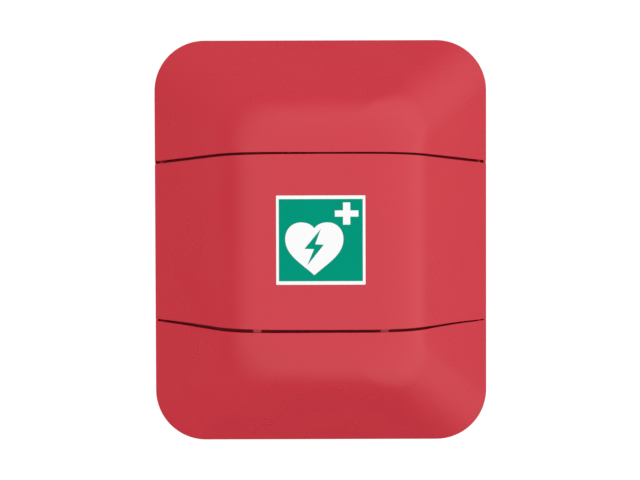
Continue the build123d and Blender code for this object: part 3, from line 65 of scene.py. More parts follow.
# how far the lower seam dips towards its ends
LOWER_DIP = [(-212, 1.1), (-200, 1.0), (-188, 0.6), (-170, 0), (165, 0), (180, 0.5), (190, 1.1),
             (200, 1.5), (212, 1.4)]
FLANGE_THICK, FLANGE_INSET, FLANGE_REAR = 2.5 * MM, 16 * MM, 56 * MM
FLANGE_CLEAR, TAB_CLEAR = 0.5 * MM, 0.1 * MM
LAND_OUT, LAND_THICK, LAND_REAR = 13 * MM, 3 * MM, 50.3 * MM
LAND_SUNK, LAND_BEVEL = 2.4 * MM, 2 * MM   # how far the land's outer edge stays below the skin
LIP_REACH, WELD = 0.8 * MM, 0.12 * MM      # how near the seam the lips' vertices lie, and their weld
TAB_X, TAB_WIDTH = 72 * MM, 9 * MM
END_TAB_SUNK = 5.2 * MM


# ---------------------------------------------------------------- mesh helpers
def new_piece(name, bm, body, stands_for=(), smooth=True):
    """Links a bmesh as a piece that rides on a body."""
    bmesh.ops.recalc_face_normals(bm, faces=bm.faces)
    mesh = bpy.data.meshes.new(name)
    bm.to_mesh(mesh)
    bm.free()
    if smooth:
        mesh.polygons.foreach_set("use_smooth", [True] * len(mesh.polygons))
    piece = bpy.data.objects.new(name, mesh)
    bpy.context.scene.collection.objects.link(piece)
    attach(piece, body)
    if stands_for:
        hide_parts(*stands_for)
    return piece


def even_shading(piece, angle=40):
    """Flat stretches keep flat shading up to the start of their rounded edges."""
    mesh = piece.data
    bm = bmesh.new()
    bm.from_mesh(mesh)
    limit = math.radians(angle)
    for edge in bm.edges:
        edge.smooth = len(edge.link_faces) == 2 and edge.calc_face_angle(0) < limit
    bm.to_mesh(mesh)
    bm.free()
    weights = piece.modifiers.new("even shading", "WEIGHTED_NORMAL")
    weights.keep_sharp = True
    weights.weight = 60
    return piece


def ring_faces(bm, first, second):
    """Quads between two closed rings of as many vertices."""
    count = len(first)
    for i in range(count):
        j = (i + 1) % count
        bm.faces.new((first[i], first[j], second[j], second[i]))


def loft_rings(bm, rings, close_ends=True):
    """Skin over closed rings of points."""
    loops = [[bm.verts.new(p) for p in ring] for ring in rings]
    for first, second in zip(loops, loops[1:]):
        ring_faces(bm, first, second)
    if close_ends:
        bm.faces.new(loops[0])
        bm.faces.new(loops[-1])
    return loops


def at(x, depth, z):
    """Point that far in front of the wall."""
    return Vector((x, -depth, z))


def arc(start, end, steps):
    """Evenly spaced angles, both ends included."""
    return [start + (end - start) * i / steps for i in range(steps + 1)]


def rounded_rect(half_w, half_h, radius, steps=8):
    """Outline of a rounded rectangle, as (x, z), counter-clockwise."""
    points = []
    for quarter, (sx, sz) in enumerate(((1, 1), (-1, 1), (-1, -1), (1, -1))):
        for a in arc(quarter * math.pi / 2, (quarter + 1) * math.pi / 2, steps):
            x = sx * (half_w - radius) + radius * math.cos(a)
            z = sz * (half_h - radius) + radius * math.sin(a)
            points.append((x, z))
    return points


def cubic(p0, p1, p2, p3, steps):
    """Points along a cubic curve, without its last one."""
    points = []
    for i in range(steps):
        t = i / steps
        a, b, c, d = (1 - t) ** 3, 3 * t * (1 - t) ** 2, 3 * t * t * (1 - t), t**3
        points.append(tuple(a * p0[k] + b * p1[k] + c * p2[k] + d * p3[k] for k in (0, 1)))
    return points


# ---------------------------------------------------------------- the hood's surface
def slope_run(theta):
    """Plan distance from the face's corner line to the rim, for the outline's direction theta."""
    across, up = CORE_RIM[0] - CORE_FACE[0], CORE_RIM[1] - CORE_FACE[1]
    return across * abs(math.cos(theta)) + up * abs(math.sin(theta)) + RIM_R - FACE_R


def slope_shape(theta):
    """(run, slope angle, blend radius, blend reach) for the outline's direction theta."""
    run = slope_run(theta)
    angle = math.atan2(RISE, run)
    share = BLEND_SIDE + (BLEND_TOP - BLEND_SIDE) * math.sin(theta) ** 2
    reach = run * share
    return run, angle, reach / math.tan(angle / 2), reach


def on_outline(side_x, side_z, theta, out, depth):
    """Point of the hood at plan distance `out` outside the face's corner line."""
    k = out / slope_run(theta)
    core_x = CORE_FACE[0] + (CORE_RIM[0] - CORE_FACE[0]) * k
    core_z = CORE_FACE[1] + (CORE_RIM[1] - CORE_FACE[1]) * k
    radius = FACE_R + (RIM_R - FACE_R) * k
    x = side_x * core_x + radius * math.cos(theta)
    z = side_z * core_z + radius * math.sin(theta)
    return at(x, depth, z)


def skin_depth(theta, inset, out):
    """Depth of the surface `inset` below the hood's, at plan distance `out`."""
    run, angle, radius, reach = slope_shape(theta)
    along = out + reach
    if along <= 0:
        return DEPTH - inset
    if along < (radius - inset) * math.sin(angle):
        return DEPTH - radius + math.sqrt((radius - inset) ** 2 - along**2)
    return DEPTH - (inset + math.sin(angle) * out) / math.cos(angle)


def shell_profile(theta):
    """(out, depth) round the wall's section: face edge, slope, skirt, rear lip and back inside."""
    run, angle, radius, reach = slope_shape(theta)
    outer = [(-reach + radius * math.sin(a), DEPTH - radius + radius * math.cos(a))
             for a in arc(0, angle, 18)]
    rim_x = run - RIM_FILLET
    rim_depth = DEPTH - (RIM_FILLET + math.sin(angle) * rim_x) / math.cos(angle)
    rim = [(rim_x + RIM_FILLET * math.sin(a), rim_depth + RIM_FILLET * math.cos(a))
           for a in arc(angle, math.pi / 2, 5)]
    start, end = outer[-1], rim[0]
    slope = [(start[0] + (end[0] - start[0]) * t, start[1] + (end[1] - start[1]) * t)
             for t in (0.02, 0.2, 0.4, 0.6, 0.8, 0.97)]
    lip_depth = SKIRT_REAR + LIP_R
    lip = [(run - LIP_R + LIP_R * math.sin(a), lip_depth + LIP_R * math.cos(a))
           for a in arc(math.pi / 2, math.pi, 4)]
    back = [(run - WALL + LIP_R + LIP_R * math.sin(a), lip_depth + LIP_R * math.cos(a))
            for a in arc(math.pi, 1.5 * math.pi, 4)]
    inner_out = run - WALL
    inner_corner = (inner_out, DEPTH - (WALL + math.sin(angle) * inner_out) / math.cos(angle))
    inner_arc = [(-reach + (radius - WALL) * math.sin(a), DEPTH - radius + (radius - WALL) * math.cos(a))
                 for a in arc(angle, 0, 14)]
    inner_slope = [(inner_corner[0] + (inner_arc[0][0] - inner_corner[0]) * t,
                    inner_corner[1] + (inner_arc[0][1] - inner_corner[1]) * t) for t in (0.35, 0.7)]
    return outer + slope + rim + lip + back + [inner_corner] + inner_slope + inner_arc


def hood_columns():
    """(side x, side z, theta) all round the outline."""
    quarter = math.pi / 2
    corners = ((1, 1), (-1, 1), (-1, -1), (1, -1))
    columns = []
    for number, (sx, sz) in enumerate(corners):
        columns += [(sx, sz, theta) for theta in arc(number * quarter, (number + 1) * quarter, 26)]
        next_x, next_z = corners[(number + 1) % 4]
        end = (number + 1) * quarter
        columns += [(sx + (next_x - sx) * t, sz + (next_z - sz) * t, end) for t in arc(0, 1, 20)[1:-1]]
    return columns


def shell_bmesh():
    """The whole hood's wall as one closed skin."""
    bm = bmesh.new()
    columns = hood_columns()
    profiles = [shell_profile(theta) for _, _, theta in columns]
    rings = [[on_outline(*column, *profile[j]) for column, profile in zip(columns, profiles)]
             for j in range(len(profiles[0]))]
    flat_outer = [[Vector((p.x * s, p.y, p.z * s)) for p in rings[0]] for s in (0.3, 0.6, 0.9, 0.985)]
    flat_inner = [[Vector((p.x * s, p.y, p.z * s)) for p in rings[-1]] for s in (0.985, 0.6)]
    loft_rings(bm, flat_outer + rings + flat_inner)
    return bm


def land_bmesh():
    """The land inside the rim that presses on the box's seal."""
    bm = bmesh.new()
    rings = [[], [], [], []]
    for sx, sz, theta in hood_columns():
        top = RIM_DEPTH + LAND_OUT * RISE / slope_run(theta) - LAND_SUNK
        for ring, (inside, depth) in zip(rings, ((0, LAND_REAR), (0, top), (LAND_THICK, top + LAND_BEVEL),
                                                 (LAND_THICK, LAND_REAR))):
            radius = RIM_R - LAND_OUT - inside
            x = sx * CORE_RIM[0] + radius * math.cos(theta)
            z = sz * CORE_RIM[1] + radius * math.sin(theta)
            ring.append(at(x, depth, z))
    loops = [[bm.verts.new(p) for p in ring] for ring in rings]
    for first, second in zip(loops, loops[1:] + loops[:1]):
        ring_faces(bm, first, second)
    return bm


def boundary_loops(bm):
    """Closed loops of the open edges, each as an ordered list of vertices."""
    open_edges = dict.fromkeys(e for e in bm.edges if len(e.link_faces) == 1)
    loops = []
    while open_edges:
        edge = next(iter(open_edges))
        del open_edges[edge]
        loop, vert = [edge.verts[0]], edge.verts[1]
        while vert is not loop[0]:
            loop.append(vert)
            edge = next(e for e in vert.link_edges if e in open_edges)
            del open_edges[edge]
            vert = edge.other_vert(vert)
        loops.append(loop)
    return loops


def trim(bm, z, keep_above, radius):
    """Cuts a closed skin at height z, keeps one side, and closes the cut with rounded edges."""
    up = 1 if keep_above else -1
    plane = z + up * radius
    geometry = bm.verts[:] + bm.edges[:] + bm.faces[:]
    bmesh.ops.bisect_plane(bm, geom=geometry, plane_co=(0, 0, plane), plane_no=(0, 0, -up),
                           clear_outer=True, dist=1e-7)
    on_cut = dict.fromkeys(v for e in bm.edges if len(e.link_faces) == 1 for v in e.verts)
    bmesh.ops.remove_doubles(bm, verts=list(on_cut), dist=WELD)
    for loop in boundary_loops(bm):
        points = [v.co.copy() for v in loop]
        count = len(points)
        area = sum(points[i].x * points[(i + 1) % count].y - points[(i + 1) % count].x * points[i].y
                   for i in range(count))
        turn = 1 if area > 0 else -1
        inward = []
        for i in range(count):
            tangent = (points[(i + 1) % count] - points[i - 1]).normalized()
            inward.append(Vector((-tangent.y, tangent.x, 0)) * turn)
        last = loop
        for a in arc(0, math.pi / 2, 3)[1:]:
            step_in, step_down = radius * (1 - math.cos(a)), radius * math.sin(a)
            ring = [bm.verts.new(p + n * step_in - Vector((0, 0, up * step_down)))
                    for p, n in zip(points, inward)]
            ring_faces(bm, last, ring)
            last = ring
        bm.faces.new(last)


def place_on_outline(x, z):
    """(out, theta) of the hood's outline that passes through (x, z)."""
    low, high = -0.45, 1.3
    for _ in range(40):
        k = (low + high) / 2
        over_x = abs(x) - CORE_FACE[0] - (CORE_RIM[0] - CORE_FACE[0]) * k
        over_z = abs(z) - CORE_FACE[1] - (CORE_RIM[1] - CORE_FACE[1]) * k
        beyond = math.hypot(max(over_x, 0), max(over_z, 0)) + min(max(over_x, over_z), 0)
        if beyond > FACE_R + (RIM_R - FACE_R) * k:
            low = k
        else:
            high = k
    theta = math.atan2(max(over_z, 1e-9), max(over_x, 1e-9))
    return k * slope_run(theta), theta


def depth_at(x, z, inset):
    """Depth of the surface `inset` below the hood's at (x, z)."""
    out, theta = place_on_outline(x, z)
    return skin_depth(theta, inset, out)


def widest(inset, depth):
    """Half width of the inset surface at that depth, on the straight sides."""
    run, angle, _, _ = slope_shape(0)
    return FACE_HALF_W + (math.cos(angle) * (DEPTH - depth) - inset) / math.sin(angle)


def add_rib(bm, outer, inner, z_low, z_high, z_shape):
    """Closed rib between two curves across the hood; each is (low x, high x, inset)."""
    steps = 96
    curves = []
    for x_low, x_high, inset in (outer, inner):
        curves.append([(x, depth_at(x, z_shape, inset)) for x in arc(x_low, x_high, steps)])
    rings = []
    for (xo, do), (xi, di) in zip(*curves):
        rings.append([at(xo, do, z_low), at(xi, di, z_low), at(xi, di, z_high), at(xo, do, z_high)])
    loft_rings(bm, rings)


def add_block(bm, corners_rear, corners_front):
    """Block between two rings of four points."""
    loft_rings(bm, [corners_rear, corners_front])


def add_boss(bm, x, z, half_w, half_h, rear):
    """Boss from depth `rear` into the hood's wall."""
    corners = [(x - half_w, z - half_h), (x + half_w, z - half_h), (x + half_w, z + half_h),
               (x - half_w, z + half_h)]
    front = [at(cx, depth_at(cx, cz, WALL / 2), cz) for cx, cz in corners]
    add_block(bm, [at(cx, rear, cz) for cx, cz in corners], front)


def add_flange(bm, z, up):
    """Inner flange along a seam; it stands away from the seam in direction `up`."""
    z_low, z_high = sorted((z, z + up * FLANGE_THICK))
    wide, narrow = widest(2 * MM, FLANGE_REAR), widest(FLANGE_INSET, FLANGE_REAR)
    add_rib(bm, (-wide, wide, 2 * MM), (-narrow, narrow, FLANGE_INSET), z_low, z_high, z)


def add_tabs(bm, z_low, z_high, sunk, bridges):
    """Snap tabs that bridge a seam `sunk` below the surface, two on the face and one at each end;
    the end ones come up under the rim over the two lengths in `bridges`, and a web behind each closes
    the seam as far as the land."""
    middle, back = (z_low + z_high) / 2, 6.5 * MM
    for x in (-TAB_X, TAB_X):
        ends = (x - TAB_WIDTH / 2, x + TAB_WIDTH / 2)
        add_rib(bm, (*ends, sunk), (*ends, back), z_low, z_high, middle)
    edge, rear, inside = HALF_W - 0.15 * MM, SKIRT_REAR + MM, HALF_W - 9 * MM
    shoulder, raised = HALF_W - 1.5 * MM, 0.7 * MM
    web_start, web_end, web_rear, web_front = HALF_W - 10.4 * MM, HALF_W - 15.5 * MM, 51.2 * MM, 55.6 * MM
    for side, bridge in zip((-1, 1), bridges):
        step = HALF_W - bridge
        outline = [(inside, rear), (edge, rear), (edge, RIM_DEPTH - 0.8 * MM), (shoulder, RIM_DEPTH),
                   (step, skin_depth(0, raised, step - FACE_HALF_W)),
                   (step, skin_depth(0, END_TAB_SUNK, step - FACE_HALF_W)),
                   (web_start, web_front), (web_end, web_front), (web_end, web_rear), (inside, web_rear)]
        loft_rings(bm, [[at(side * x, d, z) for x, d in outline] for z in (z_low, z_high)])


def read_off(table, x):
    """Value in metres at x, between the points of a table in millimetres."""
    x_mm = x / MM
    for (x0, v0), (x1, v1) in zip(table, table[1:]):
        if x_mm <= x1:
            return (v0 + (v1 - v0) * (x_mm - x0) / (x1 - x0)) * MM
    return table[-1][1] * MM


def open_seam(bm, z, up, table, nominal, dip=None):
    """Moves the lip at height z away from the seam, in direction `up`, by half of what the table adds
    to the nominal gap, and down by `dip`."""
    for vert in bm.verts:
        if abs(vert.co.z - z) < LIP_REACH:
            vert.co.z += up * (read_off(table, vert.co.x) - nominal) / 2
            if dip:
                vert.co.z -= read_off(dip, vert.co.x)


def moulding(name, low, high, extras):
    """One of the hood's three mouldings between two heights; None leaves that end whole."""
    bm = bmesh.new()
    for source in (shell_bmesh(), land_bmesh()):
        if low is not None:
            trim(source, low, True, EDGE_R)
        if high is not None:
            trim(source, high, False, EDGE_R)
        mesh = bpy.data.meshes.new("part")
        bmesh.ops.recalc_face_normals(source, faces=source.faces)
        source.to_mesh(mesh)
        source.free()
        bm.from_mesh(mesh)
        bpy.data.meshes.remove(mesh)
    if low == UPPER_HIGH:
        open_seam(bm, low, 1, UPPER_OPEN, UPPER_GAP)
    if high == UPPER_LOW:
        open_seam(bm, high, -1, UPPER_OPEN, UPPER_GAP)
        open_seam(bm, low, 1, LOWER_OPEN, LOWER_GAP, LOWER_DIP)
    if high == LOWER_LOW:
        open_seam(bm, high, -1, LOWER_OPEN, LOWER_GAP, LOWER_DIP)
    extras(bm)
    piece = new_piece(name + "_moulding", bm, "hood", [name])
    return even_shading(piece, 50)


UPPER_LOW, UPPER_HIGH = SEAM_Z - UPPER_GAP / 2, SEAM_Z + UPPER_GAP / 2
LOWER_LOW, LOWER_HIGH = -SEAM_Z - LOWER_GAP / 2, -SEAM_Z + LOWER_GAP / 2


def strike_boss(bm, sign):
    """Boss behind one strike plate."""
    low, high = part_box("strike_plates")
    add_boss(bm, (low.x + high.x) / 2, sign * 125 * MM, 6 * MM, 16 * MM, -low.y)


def top_extras(bm):
    add_flange(bm, UPPER_HIGH + FLANGE_CLEAR, 1)
    add_tabs(bm, UPPER_LOW + TAB_CLEAR, UPPER_HIGH + FLANGE_THICK, 5.6 * MM, (1.8 * MM, 4.5 * MM))
    strike_boss(bm, 1)
    low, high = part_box("sense_magnet")
    add_boss(bm, (low.x + high.x) / 2, (low.z + high.z) / 2, 7 * MM, 7 * MM, -high.y + 0.2 * MM)


def band_extras(bm):
    add_flange(bm, UPPER_LOW - FLANGE_CLEAR, -1)
    add_flange(bm, LOWER_HIGH + FLANGE_CLEAR, 1)


def bottom_extras(bm):
    add_flange(bm, LOWER_LOW - FLANGE_CLEAR, -1)
    add_tabs(bm, LOWER_LOW - FLANGE_THICK, LOWER_HIGH - TAB_CLEAR, 4.1 * MM, (4 * MM, 4.5 * MM))
    strike_boss(bm, -1)


mouldings = [
    moulding("hood_top_cap", UPPER_HIGH, None, top_extras),
    moulding("hood_middle_band", LOWER_HIGH, UPPER_LOW, band_extras),
    moulding("hood_bottom_cap", None, LOWER_LOW, bottom_extras),
]


# ---------------------------------------------------------------- the sign
SIGN_LOW, SIGN_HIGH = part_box("safety_sign")
SIGN_X, SIGN_Z = (SIGN_LOW.x + SIGN_HIGH.x) / 2, (SIGN_LOW.z + SIGN_HIGH.z) / 2 + 2.4 * MM
SIGN_REAR = -SIGN_HIGH.y
PLATE_THICK, LAYER = 0.5 * MM, 0.09 * MM


def sign_layer(name, outline, rear, thick, edge):
    """Thin plate with a softened front edge, from an outline in millimetres round the sign's centre."""
    bm = bmesh.new()
    count = len(outline)
    area = sum(outline[i][0] * outline[(i + 1) % count][1] - outline[(i + 1) % count][0] * outline[i][1]
               for i in range(count))
    turn = 1 if area > 0 else -1
    inward = []
    for i in range(count):
        before, here, after = outline[i - 1], outline[i], outline[(i + 1) % count]
        first = Vector((here[0] - before[0], here[1] - before[1])).normalized()
        second = Vector((after[0] - here[0], after[1] - here[1])).normalized()
        normal = Vector((-first.y - second.y, first.x + second.x)) * turn
        normal.normalize()
        inward.append(normal / max(0.3, normal.dot(Vector((-first.y, first.x)) * turn)))
    rings = []
    for step_in, depth in ((0, rear), (0, rear + thick - edge), (edge, rear + thick)):
        rings.append([at(SIGN_X + x * MM + n.x * step_in, depth, SIGN_Z + z * MM + n.y * step_in)
                      for (x, z), n in zip(outline, inward)])
    loft_rings(bm, rings)
    piece = new_piece(name, bm, "hood")
    return even_shading(piece, 20)


def heart_outline(centre_x):
    """Heart with two round lobes, from the notch clockwise, in millimetres."""
    right = cubic((0, 13.0), (2.6, 17.2), (8.2, 19.9), (14.6, 19.9), 10)
    right += cubic((14.6, 19.9), (25.6, 19.9), (32.6, 11.6), (32.6, 1.2), 14)
    right += cubic((32.6, 1.2), (32.4, -16.4), (15.6, -25.2), (0, -39.2), 16)
    left = [(-x, z) for x, z in reversed(right[1:])]
    return [(centre_x + x, z) for x, z in right + [(0, -39.2)] + left]


def cross_outline(x, z, half_w, half_h, bar_w, bar_h):
    """Upright cross with a vertical bar bar_w wide and a level bar bar_h high."""
    quarter = [(half_w, bar_h / 2), (bar_w / 2, bar_h / 2), (bar_w / 2, half_h)]
    points = quarter + [(-px, pz) for px, pz in reversed(quarter)]
    points += [(-px, -pz) for px, pz in quarter] + [(px, -pz) for px, pz in reversed(quarter)]
    return [(x + px, z + pz) for px, pz in points]


BOLT = [(0, 12.4), (-18.4, -9.7), (-7.6, -10.0), (-15.2, -28.2), (3.4, -5.1), (-6.4, -4.7)]
sign_plate = sign_layer("sign_plate", rounded_rect(50, 50, 0.9, 5), SIGN_REAR, PLATE_THICK, 0.2 * MM)
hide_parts("safety_sign")
field_rear = SIGN_REAR + PLATE_THICK
sign_field = sign_layer("sign_field", rounded_rect(47, 46, 0.3, 3), field_rear - 0.1 * MM,
                        LAYER + 0.1 * MM, 0.03 * MM)
symbol_rear = field_rear + LAYER - 0.05 * MM
sign_heart = sign_layer("sign_heart", heart_outline(-7.25), symbol_rear, LAYER + 0.05 * MM, 0.03 * MM)
sign_cross = sign_layer("sign_cross", cross_outline(29, 29.7, 13.2, 12.4, 8.1, 6.9), symbol_rear,
                        LAYER + 0.05 * MM, 0.03 * MM)
sign_bolt = sign_layer("sign_bolt", BOLT, symbol_rear + LAYER, LAYER + 0.05 * MM, 0.03 * MM)


# ---------------------------------------------------------------- the device's printed symbols
SYMBOL_THICK, SYMBOL_SUNK = 0.35 * MM, 0.1 * MM


def middle_of(node):
    """(x, z) of the middle of a node and the depth of its front."""
    low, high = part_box(node)
    return (low.x + high.x) / 2, (low.z + high.z) / 2, -low.y


def prism(bm, outline, x, z, rear, front):
    """Straight-sided plate from an outline in millimetres round (x, z)."""
    rings = [[at(x + px * MM, depth, z + pz * MM) for px, pz in outline] for depth in (rear, front)]
    loft_rings(bm, rings)


def symbol(name, body, node, outlines, scale=1.0):
    """Thin raised print on the front of a node."""
    x, z, front = middle_of(node)
    bm = bmesh.new()
    for outline in outlines:
        scaled = [(px * scale, pz * scale) for px, pz in outline]
        prism(bm, scaled, x, z, front - SYMBOL_SUNK, front - SYMBOL_SUNK + SYMBOL_THICK)
    return even_shading(new_piece(name, bm, body, smooth=False), 30)


def disc_outline(x, z, radius, steps=20):
    """Circle as an outline."""
    return [(x + radius * math.cos(a), z + radius * math.sin(a)) for a in arc(0, math.tau, steps)[:-1]]


def arc_band(radius, width, start, end, steps=28):
    """Part of a ring as an outline, its angles in degrees."""
    angles = arc(math.radians(start), math.radians(end), steps)
    outer = [((radius + width / 2) * math.cos(a), (radius + width / 2) * math.sin(a)) for a in angles]
    inner = [((radius - width / 2) * math.cos(a), (radius - width / 2) * math.sin(a))
             for a in reversed(angles)]
    return outer + inner


POWER_BAR = [(-0.8, 1.2), (0.8, 1.2), (0.8, 7.2), (-0.8, 7.2)]
power_symbol = symbol("power_symbol", "power_button", "aed_power_button",
                      [arc_band(5.2, 1.5, -235, 55), POWER_BAR])
info_symbol = symbol("info_symbol", "info_button", "aed_info_button",
                     [disc_outline(dx, 0, 0.9, 12) for dx in (-2.8, 0, 2.8)])
shock_symbol = symbol("shock_symbol", "shock_button", "aed_shock_button",
                      [[(x + 7.4, z + 7.9) for x, z in BOLT]], 0.62)


def fascia_print():
    """A heart, and three arrows that point to the shock button."""
    _, middle_z, front = middle_of("aed_fascia")
    rear = front - SYMBOL_SUNK
    bm = bmesh.new()
    heart = [(px * 0.5 - 12, pz * 0.5 + 20) for px, pz in heart_outline(0)]
    prism(bm, heart, 0, middle_z, rear, rear + SYMBOL_THICK)
    for step in range(3):
        x = -30 + step * 13
        chevron = [(x, -22), (x + 3, -22), (x + 8, -27), (x + 3, -32), (x, -32), (x + 5, -27)]
        prism(bm, chevron, 0, middle_z, rear, rear + SYMBOL_THICK)
    return even_shading(new_piece("fascia_print", bm, "defibrillator", smooth=False), 30)


def fascia_bolt():
    """Dark bolt on the fascia's heart."""
    _, middle_z, front = middle_of("aed_fascia")
    bm = bmesh.new()
    bolt = [((px + 7.25) * 0.5 - 12, pz * 0.5 + 20) for px, pz in BOLT]
    prism(bm, bolt, 0, middle_z, front, front + SYMBOL_THICK)
    return new_piece("fascia_bolt", bm, "defibrillator", smooth=False)


fascia_symbols, heart_bolt = fascia_print(), fascia_bolt()


# ---------------------------------------------------------------- rubber parts
def ribbed_mat():
    """The tray's mat with ribs from back to front."""
    low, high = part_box("tray_mat")
    pitch, deep = 5 * MM, 0.7 * MM
    count = int((high.x - low.x) / pitch)
    pitch = (high.x - low.x) / count
    top = []
    for i in range(count):
        x = low.x + i * pitch
        top += [(x + pitch * t, high.z - d)
                for t, d in ((0, deep), (0.2, deep), (0.3, 0), (0.7, 0), (0.8, deep))]
    outline = [(low.x, low.z)] + top + [(high.x, high.z - deep), (high.x, low.z)]
    bm = bmesh.new()
    loft_rings(bm, [[Vector((x, y, z)) for x, z in outline] for y in (low.y, high.y)])
    return even_shading(new_piece("ribbed_tray_mat", bm, "cabinet", ["tray_mat"], False), 30)


def bumper_grips():
    """Finger ridges on both sides of the bumper."""
    low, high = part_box("aed_bumper")
    rear, front, radius, sunk = -high.y + 3 * MM, -low.y - 3 * MM, 1.5 * MM, 0.5 * MM
    bm = bmesh.new()
    for side, face in ((-1, low.x), (1, high.x)):
        for i in range(9):
            z = high.z - 16 * MM - i * 6.5 * MM
            profile = [(face + side * (radius * math.sin(a) - sunk), z + radius * math.cos(a))
                       for a in arc(0, math.pi, 8)]
            ends = ((rear, 0.4), (rear + 1.2 * MM, 1), (front - 1.2 * MM, 1), (front, 0.4))
            rings = []
            for depth, size in ends:
                rings.append([at(face + (x - face) * size, depth, z + (pz - z) * size) for x, pz in profile])
            loft_rings(bm, rings)
    return even_shading(new_piece("bumper_grips", bm, "defibrillator"), 45)


mat = ribbed_mat()
grips = bumper_grips()


# ---------------------------------------------------------------- materials
def srgb(red, green, blue):
    """Display colour, 0 to 255 each, as the linear values that shaders take."""
    linear = []
    for value in (red, green, blue):
        c = value / 255
        linear.append(c / 12.92 if c <= 0.04045 else ((c + 0.055) / 1.055) ** 2.4)
    return (*linear, 1.0)


def finish_of(name, colour, rough=0.5, metal=0.0, specular=0.5, mottle=0.05, mottle_size=0.03,
              grain=0.08, grain_size=0.0006, coat=0.0, rough_spread=0.06, edge=0.0004, **extra):
    """Procedural finish: a faint cloudy change of colour and gloss, a fine moulded or cast grain,
    and edges that catch light over `edge` metres."""
    material = bpy.data.materials.new(name)
    material.use_nodes = True
    nodes, links = material.node_tree.nodes, material.node_tree.links
    shader = nodes["Principled BSDF"]
    shader.inputs["Metallic"].default_value = metal
    shader.inputs["Specular IOR Level"].default_value = specular
    shader.inputs["Coat Weight"].default_value = coat
    shader.inputs["Coat Roughness"].default_value = 0.12
    for socket, value in extra.items():
        shader.inputs[socket.replace("_", " ")].default_value = value
    place = nodes.new("ShaderNodeTexCoord")
    clouds = nodes.new("ShaderNodeTexNoise")
    clouds.inputs["Scale"].default_value = 1 / mottle_size
    clouds.inputs["Detail"].default_value = 4
    links.new(place.outputs["Object"], clouds.inputs["Vector"])
    tint = nodes.new("ShaderNodeValToRGB")
    tint.color_ramp.elements[0].position, tint.color_ramp.elements[1].position = 0.3, 0.7
    tint.color_ramp.elements[0].color = (*[c * (1 - mottle) for c in colour[:3]], 1)
    tint.color_ramp.elements[1].color = (*[min(1, c * (1 + mottle)) for c in colour[:3]], 1)
    links.new(clouds.outputs["Fac"], tint.inputs["Fac"])
    links.new(tint.outputs["Color"], shader.inputs["Base Color"])
    gloss = nodes.new("ShaderNodeMapRange")
    gloss.inputs["From Min"].default_value, gloss.inputs["From Max"].default_value = 0.25, 0.75
    gloss.inputs["To Min"].default_value = max(0.02, rough - rough_spread)
    gloss.inputs["To Max"].default_value = min(1.0, rough + rough_spread)
    links.new(clouds.outputs["Fac"], gloss.inputs["Value"])
    links.new(gloss.outputs["Result"], shader.inputs["Roughness"])
    fine = nodes.new("ShaderNodeTexNoise")
    fine.inputs["Scale"].default_value = 1 / grain_size
    fine.inputs["Detail"].default_value = 2
    links.new(place.outputs["Object"], fine.inputs["Vector"])
    bump = nodes.new("ShaderNodeBump")
    bump.inputs["Strength"].default_value = grain
    bump.inputs["Distance"].default_value = grain_size * 0.4
    links.new(fine.outputs["Fac"], bump.inputs["Height"])
    if edge:
        rounded = nodes.new("ShaderNodeBevel")
        rounded.samples = 4
        rounded.inputs["Radius"].default_value = edge
        links.new(rounded.outputs["Normal"], bump.inputs["Normal"])
    links.new(bump.outputs["Normal"], shader.inputs["Normal"])
    return material


def dress(material, *pieces):
    """Gives pieces, or CAD nodes by name, that one material."""
    for piece in pieces:
        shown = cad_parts[piece] if isinstance(piece, str) else piece
        shown.data.materials.clear()
        shown.data.materials.append(material)


hood_red = finish_of("hood_red", srgb(204, 40, 57), rough=0.28, specular=0.5, mottle=0.01,
                     mottle_size=0.09, grain=0.06, grain_size=0.0007, edge=0, rough_spread=0.03)
box_red = finish_of("box_red", srgb(190, 44, 57), rough=0.42, specular=0.25, mottle=0.02, grain=0.12)
strip_red = finish_of("strip_red", srgb(112, 16, 22), rough=0.7, specular=0.2, mottle=0.1, edge=0)
seal_black = finish_of("seal_black", srgb(30, 30, 31), rough=0.75, specular=0.3, mottle=0.15)
sign_white = finish_of("sign_white", srgb(251, 251, 251), rough=0.8, specular=0.0, mottle=0.004,
                       grain=0.03, edge=0)
sign_green = finish_of("sign_green", srgb(4, 150, 122), rough=0.8, specular=0.0, mottle=0.015,
                       grain=0.03, edge=0)
zinc = finish_of("zinc", srgb(186, 186, 180), rough=0.36, metal=0.55, mottle=0.06, mottle_size=0.004,
                 edge=0.0002)
bright_steel = finish_of("bright_steel", srgb(188, 189, 192), rough=0.3, metal=0.5, mottle=0.05,
                         mottle_size=0.006, edge=0.0003)
ferrite = finish_of("ferrite", srgb(52, 52, 56), rough=0.5, metal=0.6, mottle=0.12, mottle_size=0.003)
catch_grey = finish_of("catch_grey", srgb(120, 122, 124), rough=0.5, mottle=0.04)
tray_grey = finish_of("tray_grey", srgb(206, 208, 208), rough=0.42, specular=0.4, mottle=0.02,
                      grain=0.25, grain_size=0.0016)
mat_black = finish_of("mat_black", srgb(38, 39, 41), rough=0.85, specular=0.2, mottle=0.12, grain=0.3,
                      grain_size=0.0012)
alarm_white = finish_of("alarm_white", srgb(226, 227, 222), rough=0.45, mottle=0.015)
board_green = finish_of("board_green", srgb(18, 92, 52), rough=0.3, mottle=0.12, mottle_size=0.004)
siren_black = finish_of("siren_black", srgb(22, 22, 23), rough=0.55, mottle=0.1)
cell_black = finish_of("cell_black", srgb(60, 62, 70), rough=0.35, metal=0.7, mottle=0.1)
lamp_red = finish_of("lamp_red", srgb(205, 20, 22), rough=0.12, coat=0.6, mottle=0.02)
lock_chrome = finish_of("lock_chrome", srgb(206, 206, 208), rough=0.16, metal=0.7, mottle=0.03)
key_nickel = finish_of("key_nickel", srgb(190, 186, 172), rough=0.3, metal=0.6, mottle=0.08,
                       mottle_size=0.003)
aed_grey = finish_of("aed_grey", srgb(222, 223, 220), rough=0.48, specular=0.4, mottle=0.015,
                     grain=0.35, grain_size=0.0009)
